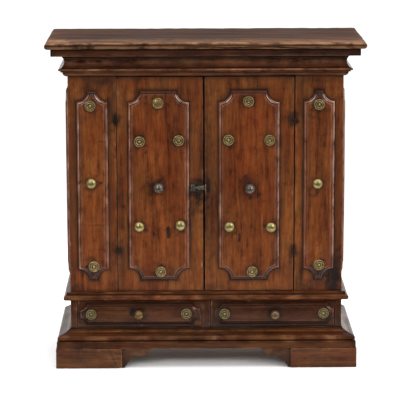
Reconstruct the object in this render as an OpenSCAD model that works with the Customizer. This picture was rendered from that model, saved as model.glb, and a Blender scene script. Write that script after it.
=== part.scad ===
// Walnut credenza: two doors over two drawers, on a moulded base with block feet.
// Millimetres. X runs to the right, Y to the back and Z up from the floor.
// The origin is under the middle of the overall box, on the floor.

/* [Case] */
// Width of the case over its side boards
body_w = 814; // [760:1:900]
// Depth of the case from its front face to its back face
body_d = 342; // [310:1:400]
// Thickness of the side boards
side_t = 20; // [16:1:26]
// Thickness of the stiles, rails and drawer fronts
front_t = 22; // [18:1:28]
// Width of each front stile
stile_w = 142; // [130:1:160]
// Thickness of the back boards
back_t = 14; // [10:1:18]
// Width of the rebate in a side board that takes the back boards
rebate_w = 10; // [6:1:14]
// Thickness of the two floors and the shelf
floor_t = 18; // [14:1:22]
// Height of the shelf above the cupboard floor
shelf_rise = 300; // [200:1:420]
// Height and depth of the shelf cleats
cleat = 22; // [16:1:30]
// Gap between neighbouring back boards
board_gap = 1; // [0.5:0.1:2]

/* [Heights] */
// Height of the block feet
foot_h = 59; // [52:1:70]
// Height of the plain band over the feet
band_h = 22; // [18:1:30]
// Height of the sloping part of the base moulding
slope_h = 35; // [32:1:44]
// Height of the drawer opening
drawer_open_h = 84; // [78:1:100]
// Height of the waist rail and moulding
waist_h = 26; // [22:1:32]
// Height of the door opening
door_open_h = 651; // [620:1:700]
// Height of the rail and cornice over the doors
frieze_h = 85; // [80:1:92]

/* [Top board] */
// Thickness of the top board
top_t = 20; // [16:1:26]
// Overhang of the top board past each side
top_side_over = 63; // [54:1:75]
// Overhang of the top board past the front
top_front_over = 62; // [54:1:75]
// Radius of the rounded upper arris of the top board
top_round = 7; // [3:0.5:8]

/* [Cornice] */
// Projection of the square fillet under the top board
fillet_proud = 46; // [40:1:52]
// Height of that fillet
fillet_h = 22; // [18:1:26]
// Projection of the upper lip of the scotia
scotia_lip = 19; // [16:1:22]
// Distance of the scotia's centre line from the case
scotia_centre = 30; // [28:1:34]
// Projection of the bead under the scotia
bead_proud = 25.5; // [23:0.5:28]
// Radius of the bead
bead_r = 3.5; // [2.5:0.5:4]
// Height of the ledge under the bead
ledge_h = 4.5; // [3:0.5:6]
// Projection of the ledge
ledge_proud = 19; // [17:1:21]
// Radius of the quarter round under the ledge
ovolo_r = 13.5; // [10:0.5:16]

/* [Waist moulding] */
// Radius of the half round
waist_r = 8; // [6:0.5:9]
// Projection of the half round
waist_proud = 20; // [17:1:24]
// Projection of the fillet over the half round
waist_fillet_proud = 11; // [8:1:14]
// Height of the small lip under the half round
waist_lip_h = 2; // [1:0.5:4]

/* [Base moulding] */
// Projection of the plain band
band_proud = 41; // [38:0.5:43]
// Radius of the half round over the band
torus_r = 8; // [7:0.5:10]
// Projection of that half round
torus_proud = 39; // [36:0.5:41]
// Height of the quirk between band and half round
quirk_h = 1; // [0.5:0.5:2]
// Height and depth of the small fillet at the top of the slope
slope_fillet = 3; // [2:0.5:5]
// Radius of the hollow in the slope
hollow_r = 45; // [40:1:80]

/* [Feet] */
// Projection of the block feet
foot_proud = 44; // [43:0.5:50]
// Thickness of the foot boards
foot_t = 30; // [24:1:36]
// Width of a front foot across the front
foot_w = 198; // [170:1:220]
// Length of a front foot along the side
foot_return = 120; // [100:1:130]
// Length of a back foot along the side
back_foot = 90; // [70:1:100]
// Width of the square corner blocks
block_w = 50; // [40:1:60]
// Length of a front bracket
bracket_l = 88; // [70:1:110]
// Length of a side bracket
side_bracket_l = 60; // [54:1:66]
// Thickness of the brackets
bracket_t = 24; // [18:1:28]
// How far the brackets stand back behind the face of the band
bracket_back = 1; // [0.5:0.5:4]
// Height of the long edge of a bracket over the floor
bracket_edge = 38; // [34:1:42]
// Distance of the cusp of a bracket from its foot
cusp_out = 31; // [24:1:34]
// Height of the little step at the cusp
cusp_step = 6; // [3:1:10]
// Width of the bracket's toe on the floor
toe_w = 6; // [3:1:10]

/* [Doors] */
// Distance of the line where the doors meet from the middle of the case
meeting_x = -5.5; // [-12:0.5:12]
// Gap between the two doors
centre_gap = 5; // [4:0.5:8]
// Gap between a door and its stile
hinge_gap = 3.5; // [3:0.5:6]
// Gap over and under a door
door_gap = 2.5; // [1.5:0.5:4]
// Gap between a shut door and the shelf that stops it
stop_gap = 0.5; // [0.3:0.1:1.5]
// Bare wood left and right of a door panel together, over half the opening
door_bare = 86; // [78:1:100]
// Distance of the panels' lower edge from the cupboard floor
panel_rise = 37; // [25:1:55]
// Distance of the panels' upper edge from the top of the door opening
panel_drop = 43; // [25:1:55]
// How far the left panel sits off the middle of its door
left_panel_shift = -5.25; // [-6:0.25:3]
// How far the right panel sits off the middle of its door
right_panel_shift = -1.25; // [-6:0.25:6]
// Thickness of the applied panels
panel_t = 10; // [8:1:14]
// Radius of the scooped corners on the door panels
door_scoop = 36; // [28:1:42]

/* [Stile and side panels] */
// Width of a stile panel
stile_panel_w = 90; // [80:1:104]
// Radius of the scooped corners on stile and side panels
stile_scoop = 33; // [24:1:36]
// Width of a side panel
side_panel_w = 250; // [200:1:280]

/* [Panel edge moulding] */
// Height of the square edge at the rim of a panel
rim_h = 3; // [2:0.5:4]
// Width of the small step at the foot of the quarter round
rim_step = 0.6; // [0.4:0.1:1]
// Radius of the quarter round at the rim
rim_r = 5.5; // [4:0.5:6]
// Width of the quirk between the quarter round and the field
rim_quirk = 2.5; // [1.5:0.5:4]
// Depth of that quirk below the field
rim_quirk_d = 2.5; // [1.5:0.5:4]
// How far the quirk runs into the back of the quarter round
crest_lap = 0.5; // [0.3:0.1:1]

/* [Drawers] */
// Thickness of the partition between the drawers
partition_t = 24; // [18:1:30]
// Gap round a drawer front
drawer_gap = 1.5; // [1:0.25:3]
// Running gap under the drawer sides
run_gap = 0.3; // [0.2:0.1:0.6]
// Gap between a shut drawer and the back boards that stop it
drawer_stop_gap = 0.5; // [0.3:0.1:2]
// Height of the drawer sides
drawer_side_h = 68; // [55:1:74]
// Thickness of the drawer sides and back
drawer_side_t = 10; // [8:1:14]
// Thickness of the drawer bottom
drawer_bottom_t = 6; // [4:1:8]
// Height of the drawer bottom over the lower edge of the sides
drawer_bottom_rise = 8; // [5:1:14]
// Depth of the grooves that hold the drawer bottom
groove_d = 5; // [3:1:6]
// Length of the dovetails in the drawer front
tail_l = 14; // [10:1:16]
// Number of dovetails on each drawer side
tails = 2; // [2:1:3]
// Bare wood left and right of the applied panel on a drawer front
drawer_bare_w = 6; // [2:0.5:12]
// Bare wood over and under that panel
drawer_bare_h = 7.5; // [4:0.5:10]
// Thickness of that panel
drawer_panel_t = 9; // [8:1:12]
// Radius of its scooped corners
drawer_scoop = 19; // [14:1:22]
// Distance of the drawer bosses from the ends of the panel
drawer_boss_in = 36; // [30:1:60]
// Shift of the right drawer's panel away from the middle of the credenza
right_drawer_shift = 5; // [0:0.5:6]

/* [Boss places] */
// Distance of the top boss from the top edge of a door panel
boss_down = 34; // [30:1:50]
// Distance of the bottom boss from the bottom edge of a door panel
boss_up = 26; // [20:1:50]
// Distance of the upper pair from the top edge of a door panel
pair_down = 148; // [110:1:180]
// Distance of the lower domes from the bottom edge of a door panel
dome_up = 163; // [120:1:180]
// Distance of the paired bosses from the middle of a door panel
pair_out = 60; // [45:1:66]
// Drop of the door knobs below the middle of the panel
knob_drop = 3; // [0:1:20]
// Distance of the top boss from the top edge of a stile panel
stile_boss_down = 43; // [35:1:60]
// Distance of the bottom boss from the bottom edge of a stile panel
stile_boss_up = 44; // [35:1:60]
// Rise of the middle dome over the middle of a stile panel
stile_dome_rise = 8; // [0:1:12]

/* [Brass] */
// Radius of a ring boss
boss_r = 16.5; // [14:0.5:18]
// Thickness of the ring boss at its rim
boss_rim = 2; // [1.5:0.5:3]
// Radius of the two raised rings on a boss
ring_r = 1.9; // [1.4:0.1:2.4]
// Distance of the outer ring's crest from the rim of the boss
ring_in = 2.4; // [2:0.1:3]
// How far the inner ring stands higher than the outer one
ring_rise = 0.8; // [0.4:0.1:1.4]
// Radius of the dome in the middle of a boss
eye_dome = 4.2; // [3:0.1:5]
// Radius of a plain dome
dome_r = 14.5; // [12:0.5:17]
// Height of a plain dome
dome_h = 6.5; // [5:0.5:9]
// Thickness of a plain dome at its rim
dome_rim = 1.2; // [0.8:0.1:2]
// Width of the flat edge round a plain dome
dome_flat = 1; // [0.5:0.1:2]
// Radius of the nail under a boss or a dome
nail_r = 1.8; // [1.2:0.1:2.5]
// Length of that nail behind the panel face
nail_l = 17; // [12:1:18]

/* [Knobs] */
// Radius of a knob
knob_r = 16; // [13:0.5:19]
// Radius of the knob's collar
collar_r = 10; // [8:0.5:12]
// Thickness of the collar
collar_t = 3; // [2:0.5:4]
// Radius of the neck
neck_r = 6; // [5:0.5:7]
// Length of the neck between collar and ball
neck_l = 5; // [3:0.5:8]
// Radius of the tang that holds the knob
tang_r = 3; // [2:0.5:4]
// Length of the tang behind the panel face
tang_l = 20; // [14:1:26]

/* [Hinges] */
// Radius of the hinge pin and of the eye's shank
wire_r = 2; // [1.8:0.1:2.3]
// Radius of the staple's legs, drawn down from the pin
leg_r = 1.7; // [1.2:0.1:1.7]
// Radial play between pin and eye
pin_play = 0.05; // [0.02:0.01:0.1]
// Outer radius of the eye
eye_r = 5.2; // [4.8:0.1:6]
// Height of the eye
eye_h = 5; // [4:0.5:7]
// How far the hinge line stands in front of the case
axis_proud = 1.5; // [1:0.5:3]
// Height of the staple between its two legs
staple_h = 15; // [13:1:20]
// Gap between the eye and the staple leg that rests on it
seat_gap = 0.3; // [0.2:0.1:0.5]
// Length of the slanting shanks
shank_l = 27; // [20:1:29]
// Height of the lower hinges over the cupboard floor
low_hinge = 126; // [100:1:160]
// Height of the upper hinges over the cupboard floor
high_hinge = 519; // [480:1:560]

/* [Latch] */
// Height of the latch over the cupboard floor
latch_rise = 317; // [290:1:340]
// Gap between the latch plate and the door panel
plate_clear = 0.5; // [0.3:0.1:1]
// Height of the latch plate
plate_h = 26; // [22:1:32]
// Thickness of the latch plate
plate_t = 2; // [1.5:0.5:3]
// Distance of the plate from the door's free edge
plate_in = 1.5; // [1:0.5:2]
// Thickness of the bolt
bolt_t = 3.5; // [2.5:0.5:5]
// Height of the bolt's bar
bolt_h = 7; // [6:0.5:9]
// Height of the flared nose
nose_h = 14; // [11:0.5:16]
// Length of the flared nose
nose_l = 17; // [14:0.5:18]
// Distance that the bolt slides back
bolt_travel = 8; // [6:0.5:9]
// Gap between the bolt's nose and the edge of the other door
nose_gap = 1.6; // [1.4:0.1:2]
// Gap round the bolt in its straps
bolt_play = 0.15; // [0.1:0.05:0.3]
// Width of the straps along the bolt
strap_w = 3; // [2:0.5:4]
// Thickness of the straps and the keep
strap_t = 2; // [1.5:0.5:3]
// Distance of the keep from the edge of the right door
keep_in = 0.6; // [0.5:0.1:2]
// Room over and under the nose inside the keep
keep_room = 1; // [0.5:0.1:3]
// Length of the sloping ends of the fishtail
fish_slope = 1; // [0.5:0.1:2]
// Radius of the stud that the bolt is pushed by
stud_r = 2.5; // [2:0.1:3]
// Length of that stud
stud_l = 5; // [3:0.5:7]

/* [Hidden] */
$fn = 48;
LEFT = -1;
RIGHT = 1;
walnut = "#6b3f27";
panel_walnut = "#7c4526";
pale_wood = "#8a6a48";
brass = "#8f8550";
bronze = "#6d6353";
iron = "#3a3634";

// Overall depth and the planes of the case
overall_d = body_d + top_front_over;
y_front = -overall_d / 2 + top_front_over;
y_back = overall_d / 2;
y_inner = y_front + front_t;
y_boards = y_back - back_t;
half_w = body_w / 2;
inner_w = body_w - 2 * side_t;
open_w = body_w - 2 * stile_w;

// Levels from the floor up
z_base = foot_h + band_h + slope_h;
z_slope = foot_h + band_h;
z_waist = z_base + drawer_open_h;
z_door = z_waist + waist_h;
z_frieze = z_door + door_open_h;
z_top = z_frieze + frieze_h;
z_fillet = z_top - fillet_h;
z_shelf = z_door + shelf_rise;
z_panel = z_door + panel_rise;
z_latch = z_door + latch_rise;

// Small working allowances: cutters run past faces by cut, loose holes are wider by ease
cut = 1;
ease = 0.05;

// Joinery of the front frame
tenon_t = 8;
tenon_l = 30;
tenon_w = 60;
tenon_shoulder = 10;
stub_l = 14;
joint_play = 1;

// Doors
door_t = front_t - stop_gap;
door_h = door_open_h - 2 * door_gap;
door_panel_w = open_w / 2 - door_bare;
panel_h = door_open_h - panel_rise - panel_drop;
door_z = z_door + door_gap;
hinge_levels = [z_door + low_hinge, z_door + high_hinge];
y_axis = y_front - axis_proud;

// Brass and iron fixings: regular places from the middle of a panel, and how far each one was
// nailed off its place by hand, in the same order
ring_places = [[0, panel_h / 2 - boss_down], [-pair_out, panel_h / 2 - pair_down],
    [pair_out, panel_h / 2 - pair_down], [0, boss_up - panel_h / 2]];
dome_places = [[-pair_out, dome_up - panel_h / 2], [pair_out, dome_up - panel_h / 2]];
knob_place = [0, -knob_drop];
left_rings = ring_places + [[-1.5, -2], [3.5, -3], [-0.5, 0], [4.5, 0]];
left_domes = dome_places + [[1.5, 0], [4, 4]];
left_knob = knob_place + [0, 2];
right_rings = ring_places + [[-2, 2], [-1, 1], [1, 0], [10, -1]];
right_domes = dome_places + [[2, -1], [6, -3]];
right_knob = knob_place + [2, -1.5];
stile_places = [[0, panel_h / 2 - stile_boss_down], [0, stile_boss_up - panel_h / 2],
    [0, stile_dome_rise]];
left_stile_fixings = stile_places + [[-5, -1], [1, -1], [-4, 1]];
right_stile_fixings = stile_places + [[-1, 1], [1, 1], [-4, -2]];
drawer_ring_places = [for (end = [-1, 1]) [end * (drawer_panel_w() / 2 - drawer_boss_in), 0]];
left_drawer_rings = drawer_ring_places + [[-2, 0], [-4, 1]];
left_drawer_knob = [-2, 3];
right_drawer_rings = drawer_ring_places + [[-5, 0], [4, 1]];
right_drawer_knob = [1.5, 1];

// Back board nails
back_board_count = 3;
back_nail_r = 1.5;
back_nail_head = 4;
back_nail_sink = 2.5;
back_nail_l = 30;
back_nail_inset = 40;

// Places worked out from the sizes above
function door_hinge_edge(side) = side * (open_w / 2 - hinge_gap);
function door_free_edge(side) = meeting_x + side * centre_gap / 2;
function door_w(side) = abs(door_hinge_edge(side) - door_free_edge(side));
function door_x(side) = (door_hinge_edge(side) + door_free_edge(side)) / 2;
function door_panel_x(side) = door_x(side) + (side == LEFT ? left_panel_shift : right_panel_shift);
function axis_x(side) = side * (open_w / 2 - hinge_gap / 2);
function stile_x(side) = side * (half_w - stile_w / 2);
function stile_fixings(side) = side == LEFT ? left_stile_fixings : right_stile_fixings;
function panel_mid_z() = z_panel + panel_h / 2;
function drawer_w() = (inner_w - partition_t) / 2 - 2 * drawer_gap;
function drawer_x(side) = side * (partition_t + inner_w) / 4;
function drawer_z() = z_base + drawer_gap;
function drawer_l() = y_boards - y_front - drawer_stop_gap;
function drawer_front_h() = drawer_open_h - 2 * drawer_gap;
function drawer_panel_w() = drawer_w() - 2 * drawer_bare_w;
function drawer_panel_h() = drawer_front_h() - 2 * drawer_bare_h;
function drawer_panel_z() = drawer_z() + drawer_front_h() / 2;
function drawer_panel_x(side) = drawer_x(side) + (side == LEFT ? 0 : right_drawer_shift);
function drawer_rings(side) = side == LEFT ? left_drawer_rings : right_drawer_rings;
function drawer_knob_place(side) = side == LEFT ? left_drawer_knob : right_drawer_knob;
function side_z() = z_base + run_gap;
function bottom_z() = side_z() + drawer_bottom_rise;
function back_board_w() = (body_w - 2 * (side_t - rebate_w) - (back_board_count - 1) * board_gap)
    / back_board_count;
function back_board_x(i) = -half_w + side_t - rebate_w + back_board_w() / 2
    + i * (back_board_w() + board_gap);
function nail_rows() = [z_base - floor_t / 2, z_door - floor_t / 2, z_shelf + floor_t / 2];

// Shared solids

// Run of moulding along the front: the profile's x is the projection, its y the height
module front_run(length) {
    translate([-length / 2, y_front, 0])
        mirror([0, 1, 0])
            rotate([90, 0, 90])
                linear_extrude(length)
                    children();
}

// Run of moulding along the right side, from the mitred front corner to the back
module side_run(proud) {
    translate([half_w, y_back, 0])
        rotate([90, 0, 0])
            linear_extrude(body_d + proud)
                children();
}

// Plan of the front length between its two mitres, as a block
module front_mitre(proud) {
    linear_extrude(z_top)
        polygon([[-half_w, y_front], [half_w, y_front],
            [half_w + proud, y_front - proud], [-half_w - proud, y_front - proud]]);
}

// Plan of a side length behind its mitre, as a block
module side_mitre(proud) {
    linear_extrude(z_top)
        polygon([[half_w, y_front], [half_w + proud, y_front - proud],
            [half_w + proud, y_back], [half_w, y_back]]);
}

module mitred_front(proud) {
    intersection() {
        front_run(body_w + 2 * proud) children();
        front_mitre(proud);
    }
}

module mitred_sides(proud) {
    for (side = [LEFT, RIGHT])
        mirror([side == LEFT ? 1 : 0, 0, 0])
            intersection() {
                side_run(proud) children();
                side_mitre(proud);
            }
}

// Profiles, drawn with the case face at x = 0

module fillet_profile() {
    ease_arris = 2;
    translate([0, z_fillet])
        polygon([[0, 0], [fillet_proud - ease_arris, 0], [fillet_proud, ease_arris],
            [fillet_proud, fillet_h], [0, fillet_h]]);
}

module cornice_profile() {
    z_ledge = z_frieze + ovolo_r;
    z_bead = z_ledge + ledge_h;
    z_scotia = z_bead + 2 * bead_r;
    scotia_h = z_fillet - z_scotia;
    scotia_r = sqrt(pow(scotia_h / 2, 2) + pow(scotia_centre - scotia_lip, 2));
    difference() {
        polygon([[0, z_scotia - bead_r], [bead_proud - bead_r, z_scotia - bead_r],
            [bead_proud - bead_r, z_scotia], [scotia_lip, z_fillet], [0, z_fillet]]);
        translate([scotia_centre, z_scotia + scotia_h / 2])
            circle(scotia_r);
    }
    translate([bead_proud - bead_r, z_bead + bead_r])
        circle(bead_r);
    translate([0, z_bead])
        square([bead_proud - bead_r, bead_r]);
    translate([0, z_ledge])
        square([ledge_proud, ledge_h]);
    intersection() {
        translate([0, z_ledge])
            circle(ovolo_r);
        translate([0, z_frieze])
            square(ovolo_r);
    }
}

module waist_profile() {
    z_round = z_waist + waist_lip_h;
    translate([0, z_waist])
        square([waist_proud - waist_r, waist_lip_h + 2 * waist_r]);
    translate([waist_proud - waist_r, z_round + waist_r])
        circle(waist_r);
    translate([0, z_round + 2 * waist_r])
        square([waist_fillet_proud, waist_h - waist_lip_h - 2 * waist_r]);
}

module base_profile() {
    z_torus = z_slope + quirk_h;
    z_step = z_torus + 2 * torus_r;
    high = [slope_fillet, z_base - slope_fillet];
    low = [torus_proud - torus_r, z_step];
    chord = low - high;
    half_chord = norm(chord) / 2;
    reach = sqrt(hollow_r * hollow_r - half_chord * half_chord);
    square_to = [-chord[1], chord[0]] / norm(chord);
    translate([0, foot_h])
        square([band_proud, band_h]);
    translate([0, z_slope])
        square([torus_proud - torus_r, quirk_h + 2 * torus_r]);
    translate([torus_proud - torus_r, z_torus + torus_r])
        circle(torus_r);
    difference() {
        polygon([[0, z_torus], [low[0], z_torus], low, high,
            [slope_fillet, z_base], [0, z_base]]);
        translate((high + low) / 2 + reach * square_to)
            circle(hollow_r, $fn = 96);
    }
}

// Outline of a panel with scooped corners, drawn in by the distance inset
module scooped(w, h, scoop, inset = 0) {
    difference() {
        square([w - 2 * inset, h - 2 * inset], center = true);
        for (x = [-1, 1], y = [-1, 1])
            translate([x * w / 2, y * h / 2])
                circle(scoop + inset);
    }
}

// What the moulding plane takes off a panel's edge: x runs in from the rim, y up from the back
module rim_cut(thick) {
    crest = rim_step + rim_r;
    difference() {
        translate([-cut, rim_h])
            square([cut + crest + rim_quirk, thick]);
        intersection() {
            translate([crest, rim_h])
                circle(rim_r);
            translate([rim_step, rim_h])
                square([rim_r - crest_lap, rim_r + cut]);
        }
        translate([crest - crest_lap - cut, 0])
            square([rim_quirk + crest_lap + 2 * cut, thick - rim_quirk_d]);
    }
}

// Applied panel lying in XY with its back at z = 0 and its moulded edge
module applied_panel(w, h, thick, scoop) {
    difference() {
        linear_extrude(thick)
            scooped(w, h, scoop);
        for (side = [-1, 1]) {
            translate([side * w / 2, h / 2 + cut, 0])
                rotate([90, 0, 0])
                    linear_extrude(h + 2 * cut)
                        mirror([side > 0 ? 1 : 0, 0])
                            rim_cut(thick);
            translate([-w / 2 - cut, side * h / 2, 0])
                rotate([90, 0, 90])
                    linear_extrude(w + 2 * cut)
                        mirror([side > 0 ? 1 : 0, 0])
                            rim_cut(thick);
        }
        for (x = [-1, 1], y = [-1, 1])
            translate([x * w / 2, y * h / 2, 0])
                mirror([x < 0 ? 1 : 0, 0, 0])
                    rotate_extrude()
                        translate([scoop, 0])
                            rim_cut(thick);
    }
}

// Stands something drawn flat on a front face: its x stays, its y becomes the height
module on_front(x, y, z) {
    translate([x, y, z])
        rotate([90, 0, 0])
            children();
}

// Hole for a nail or a tang through a board standing behind a front face
module front_hole(x, y_face, z, r, depth) {
    translate([x, y_face - cut, z])
        rotate([-90, 0, 0])
            cylinder(r = r + ease, h = depth + cut);
}

// Holes for all the fixings of one panel: rings, domes and a knob in panel places
module fixing_holes(x, z, y_face, depth, nails, tangs) {
    for (p = nails)
        front_hole(x + p[0], y_face, z + p[1], nail_r, depth);
    for (p = tangs)
        front_hole(x + p[0], y_face, z + p[1], tang_r, tang_l);
}

// Cast and turned boss with two raised rings round a centre dome
module ring_boss() {
    outer_ring = boss_r - ring_in;
    inner_ring = boss_r * 0.56;
    rotate_extrude()
        intersection() {
            union() {
                square([boss_r, boss_rim]);
                translate([outer_ring, boss_rim])
                    circle(ring_r);
                translate([inner_ring, boss_rim + ring_rise])
                    circle(ring_r);
                square([inner_ring, boss_rim + ring_rise]);
                translate([0, boss_rim + ring_rise])
                    circle(eye_dome);
            }
            square([boss_r, boss_rim + eye_dome + ring_r]);
        }
    translate([0, 0, -nail_l])
        cylinder(r = nail_r, h = nail_l + boss_rim);
}

// Plain domed nail head with a thin flat rim
module dome_boss() {
    crown_h = dome_h - dome_rim;
    crown_r = (pow(dome_r - dome_flat, 2) + pow(crown_h, 2)) / (2 * crown_h);
    rotate_extrude()
        intersection() {
            union() {
                square([dome_r, dome_rim]);
                translate([0, dome_h - crown_r])
                    circle(crown_r, $fn = 96);
            }
            square([dome_r, dome_h]);
        }
    translate([0, 0, -nail_l])
        cylinder(r = nail_r, h = nail_l + dome_rim);
}

// Turned ball knob with a collar, a neck and a tang behind
module knob() {
    ball_z = collar_t + neck_l + sqrt(knob_r * knob_r - neck_r * neck_r);
    rotate_extrude()
        intersection() {
            union() {
                square([collar_r - collar_t / 2, collar_t]);
                translate([collar_r - collar_t / 2, collar_t / 2])
                    circle(collar_t / 2);
                square([neck_r, ball_z]);
                translate([0, ball_z])
                    circle(knob_r);
            }
            square([knob_r, ball_z + knob_r]);
        }
    translate([0, 0, -tang_l])
        cylinder(r = tang_r, h = tang_l + collar_t);
}

// Bosses, domes and knobs of one panel
module bosses(x, y, z, rings, domes) {
    for (p = rings)
        on_front(x + p[0], y, z + p[1]) ring_boss();
    for (p = domes)
        on_front(x + p[0], y, z + p[1]) dome_boss();
}

// Top

module top_board() {
    color(walnut)
    translate([0, 0, z_top])
        intersection() {
            translate([-half_w - top_side_over, 0, 0])
                rotate([90, 0, 90])
                    linear_extrude(body_w + 2 * top_side_over)
                        nosing(-y_front + top_front_over, y_back);
            translate([0, y_back, 0])
                rotate([90, 0, 0])
                    linear_extrude(overall_d)
                        nosing(half_w + top_side_over, half_w + top_side_over, [0, 1]);
        }
}

// Board section from -left to right with its arrises rounded: on its own end, or mirrored too
module nosing(left, right, mirrored = [0]) {
    lower_round = 4;
    difference() {
        translate([-left, 0])
            square([left + right, top_t]);
        for (end = mirrored)
            mirror([end, 0])
                translate([-left, 0]) {
                    difference() {
                        translate([-cut, top_t - top_round])
                            square([top_round + cut, top_round + cut]);
                        translate([top_round, top_t - top_round])
                            circle(top_round);
                    }
                    difference() {
                        translate([-cut, -cut])
                            square([lower_round + cut, lower_round + cut]);
                        translate([lower_round, lower_round])
                            circle(lower_round);
                    }
                }
    }
}

module cornice_fillet_front() {
    color(walnut) mitred_front(fillet_proud) fillet_profile();
}

module cornice_fillet_sides() {
    color(walnut) mitred_sides(fillet_proud) fillet_profile();
}

module cornice_moulding_front() {
    color(walnut) mitred_front(bead_proud) cornice_profile();
}

module cornice_moulding_sides() {
    color(walnut) mitred_sides(bead_proud) cornice_profile();
}

// Case boards and front frame

// Side board: full depth below the waist rail, notched above it for the rail and stile
module side_board(side) {
    color(walnut)
    mirror([side == LEFT ? 1 : 0, 0, 0])
    difference() {
        translate([half_w - side_t, 0, 0])
            rotate([90, 0, 90])
                linear_extrude(side_t)
                    polygon([[y_front, foot_h], [y_back, foot_h], [y_back, z_top],
                        [y_inner, z_top], [y_inner, z_waist], [y_front, z_waist]]);
        translate([half_w - side_t - cut, y_boards, z_base - floor_t])
            cube([rebate_w + cut, back_t + cut, z_top]);
    }
}

module left_side_board() {
    side_board(LEFT);
}

module right_side_board() {
    side_board(RIGHT);
}

module side_panels() {
    color(panel_walnut)
    for (side = [LEFT, RIGHT])
        mirror([side == LEFT ? 1 : 0, 0, 0])
            translate([half_w, (y_front + y_back) / 2, panel_mid_z()])
                rotate([90, 0, 90])
                    applied_panel(side_panel_w, panel_h, panel_t, stile_scoop);
}

module stile(side) {
    color(walnut)
    difference() {
        union() {
            translate([stile_x(side) - stile_w / 2, y_front, z_door])
                cube([stile_w, front_t, z_top - z_door]);
            translate([stile_x(side) - tenon_w / 2, y_front + (front_t - tenon_t) / 2,
                z_door - stub_l])
                cube([tenon_w, tenon_t, stub_l + cut]);
        }
        rail_mortise(side);
        hinge_room(side);
        eye_shanks(side, ease);
        fixing_holes(stile_x(side), panel_mid_z(), y_front, nail_l - panel_t + joint_play,
            stile_fixings(side), []);
    }
}

// Mortise for the top rail's tenon
module rail_mortise(side) {
    depth = tenon_l + joint_play;
    translate([side * (open_w / 2 + depth / 2 - cut / 2), y_inner - front_t / 2,
        z_frieze + frieze_h / 2])
        cube([depth + cut, tenon_t, frieze_h - 2 * tenon_shoulder], center = true);
}

// Pocket cut in the arris of stile and door round each hinge
module hinge_room(side) {
    room = 1;
    room_top = eye_h / 2 + seat_gap + leg_r + wire_r + room;
    room_h = staple_h + 2 * wire_r + 2 * room;
    for (z = hinge_levels)
        translate([axis_x(side), y_axis, z + room_top - room_h])
            cylinder(r = eye_r + room, h = room_h);
}

// Slanting shanks of the eyes in the stile, wider by the play
module eye_shanks(side, play = 0) {
    for (z = hinge_levels)
        translate([axis_x(side), y_axis, z])
            rotate([0, 0, side > 0 ? 45 : 135])
                rotate([0, 90, 0])
                    translate([0, 0, (eye_r + wire_r) / 2])
                        cylinder(r = wire_r + play, h = shank_l + play);
}

module left_stile() {
    stile(LEFT);
}

module right_stile() {
    stile(RIGHT);
}

module stile_panels() {
    color(panel_walnut)
    for (side = [LEFT, RIGHT])
        difference() {
            on_front(stile_x(side), y_front, panel_mid_z())
                applied_panel(stile_panel_w, panel_h, panel_t, stile_scoop);
            fixing_holes(stile_x(side), panel_mid_z(), y_front - panel_t, nail_l,
                stile_fixings(side), []);
        }
}

module stile_bosses() {
    color(brass)
    for (side = [LEFT, RIGHT])
        bosses(stile_x(side), y_front - panel_t, panel_mid_z(),
            [stile_fixings(side)[0], stile_fixings(side)[1]], [stile_fixings(side)[2]]);
}

module top_rail() {
    color(walnut) {
        translate([-open_w / 2, y_front, z_frieze])
            cube([open_w, front_t, frieze_h]);
        translate([-open_w / 2 - tenon_l, y_front + (front_t - tenon_t) / 2,
            z_frieze + tenon_shoulder])
            cube([open_w + 2 * tenon_l, tenon_t, frieze_h - 2 * tenon_shoulder]);
    }
}

module waist_rail() {
    color(walnut)
    difference() {
        translate([-half_w, y_front, z_waist])
            cube([body_w, front_t, waist_h]);
        for (side = [LEFT, RIGHT])
            translate([stile_x(side) - tenon_w / 2, y_front + (front_t - tenon_t) / 2,
                z_door - stub_l - joint_play])
                cube([tenon_w, tenon_t, stub_l + joint_play + cut]);
    }
}

module drawer_partition() {
    color(walnut)
    translate([-partition_t / 2, 0, 0])
        rotate([90, 0, 90])
            linear_extrude(partition_t)
                polygon([[y_front, z_base], [y_boards, z_base], [y_boards, z_door - floor_t],
                    [y_inner, z_door - floor_t], [y_inner, z_waist], [y_front, z_waist]]);
}

// Mouldings of the waist and the base

module waist_moulding_front() {
    color(walnut) mitred_front(waist_proud) waist_profile();
}

module waist_moulding_sides() {
    color(walnut) mitred_sides(waist_proud) waist_profile();
}

module base_moulding_front() {
    color(walnut) mitred_front(band_proud) base_profile();
}

module base_moulding_sides() {
    color(walnut) mitred_sides(band_proud) base_profile();
}

// Feet

// Foot board: a section standing between the back and the face of the feet
module foot_section() {
    translate([foot_proud - foot_t, 0])
        square([foot_t, foot_h]);
}

module front_foot_boards() {
    color(walnut)
    for (side = [LEFT, RIGHT])
        intersection() {
            mitred_front(foot_proud) foot_section();
            translate([side * (half_w + foot_proud - foot_w / 2), y_front, foot_h / 2])
                cube([foot_w, 2 * foot_proud + cut, foot_h], center = true);
        }
}

module side_foot_boards() {
    color(walnut)
    intersection() {
        mitred_sides(foot_proud) foot_section();
        translate([-body_w, y_front - foot_proud, 0])
            cube([2 * body_w, foot_return, foot_h]);
    }
}

module back_foot_boards() {
    color(walnut)
    intersection() {
        mitred_sides(foot_proud) foot_section();
        translate([-body_w, y_back - back_foot, 0])
            cube([2 * body_w, back_foot, foot_h]);
    }
}

module corner_blocks() {
    inner_face = foot_proud - foot_t;
    color(pale_wood)
    for (side = [LEFT, RIGHT], y = [y_front - inner_face, y_back - block_w])
        translate([side * (half_w + inner_face - block_w / 2), y + block_w / 2, foot_h / 2])
            cube([block_w, block_w, foot_h], center = true);
}

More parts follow.
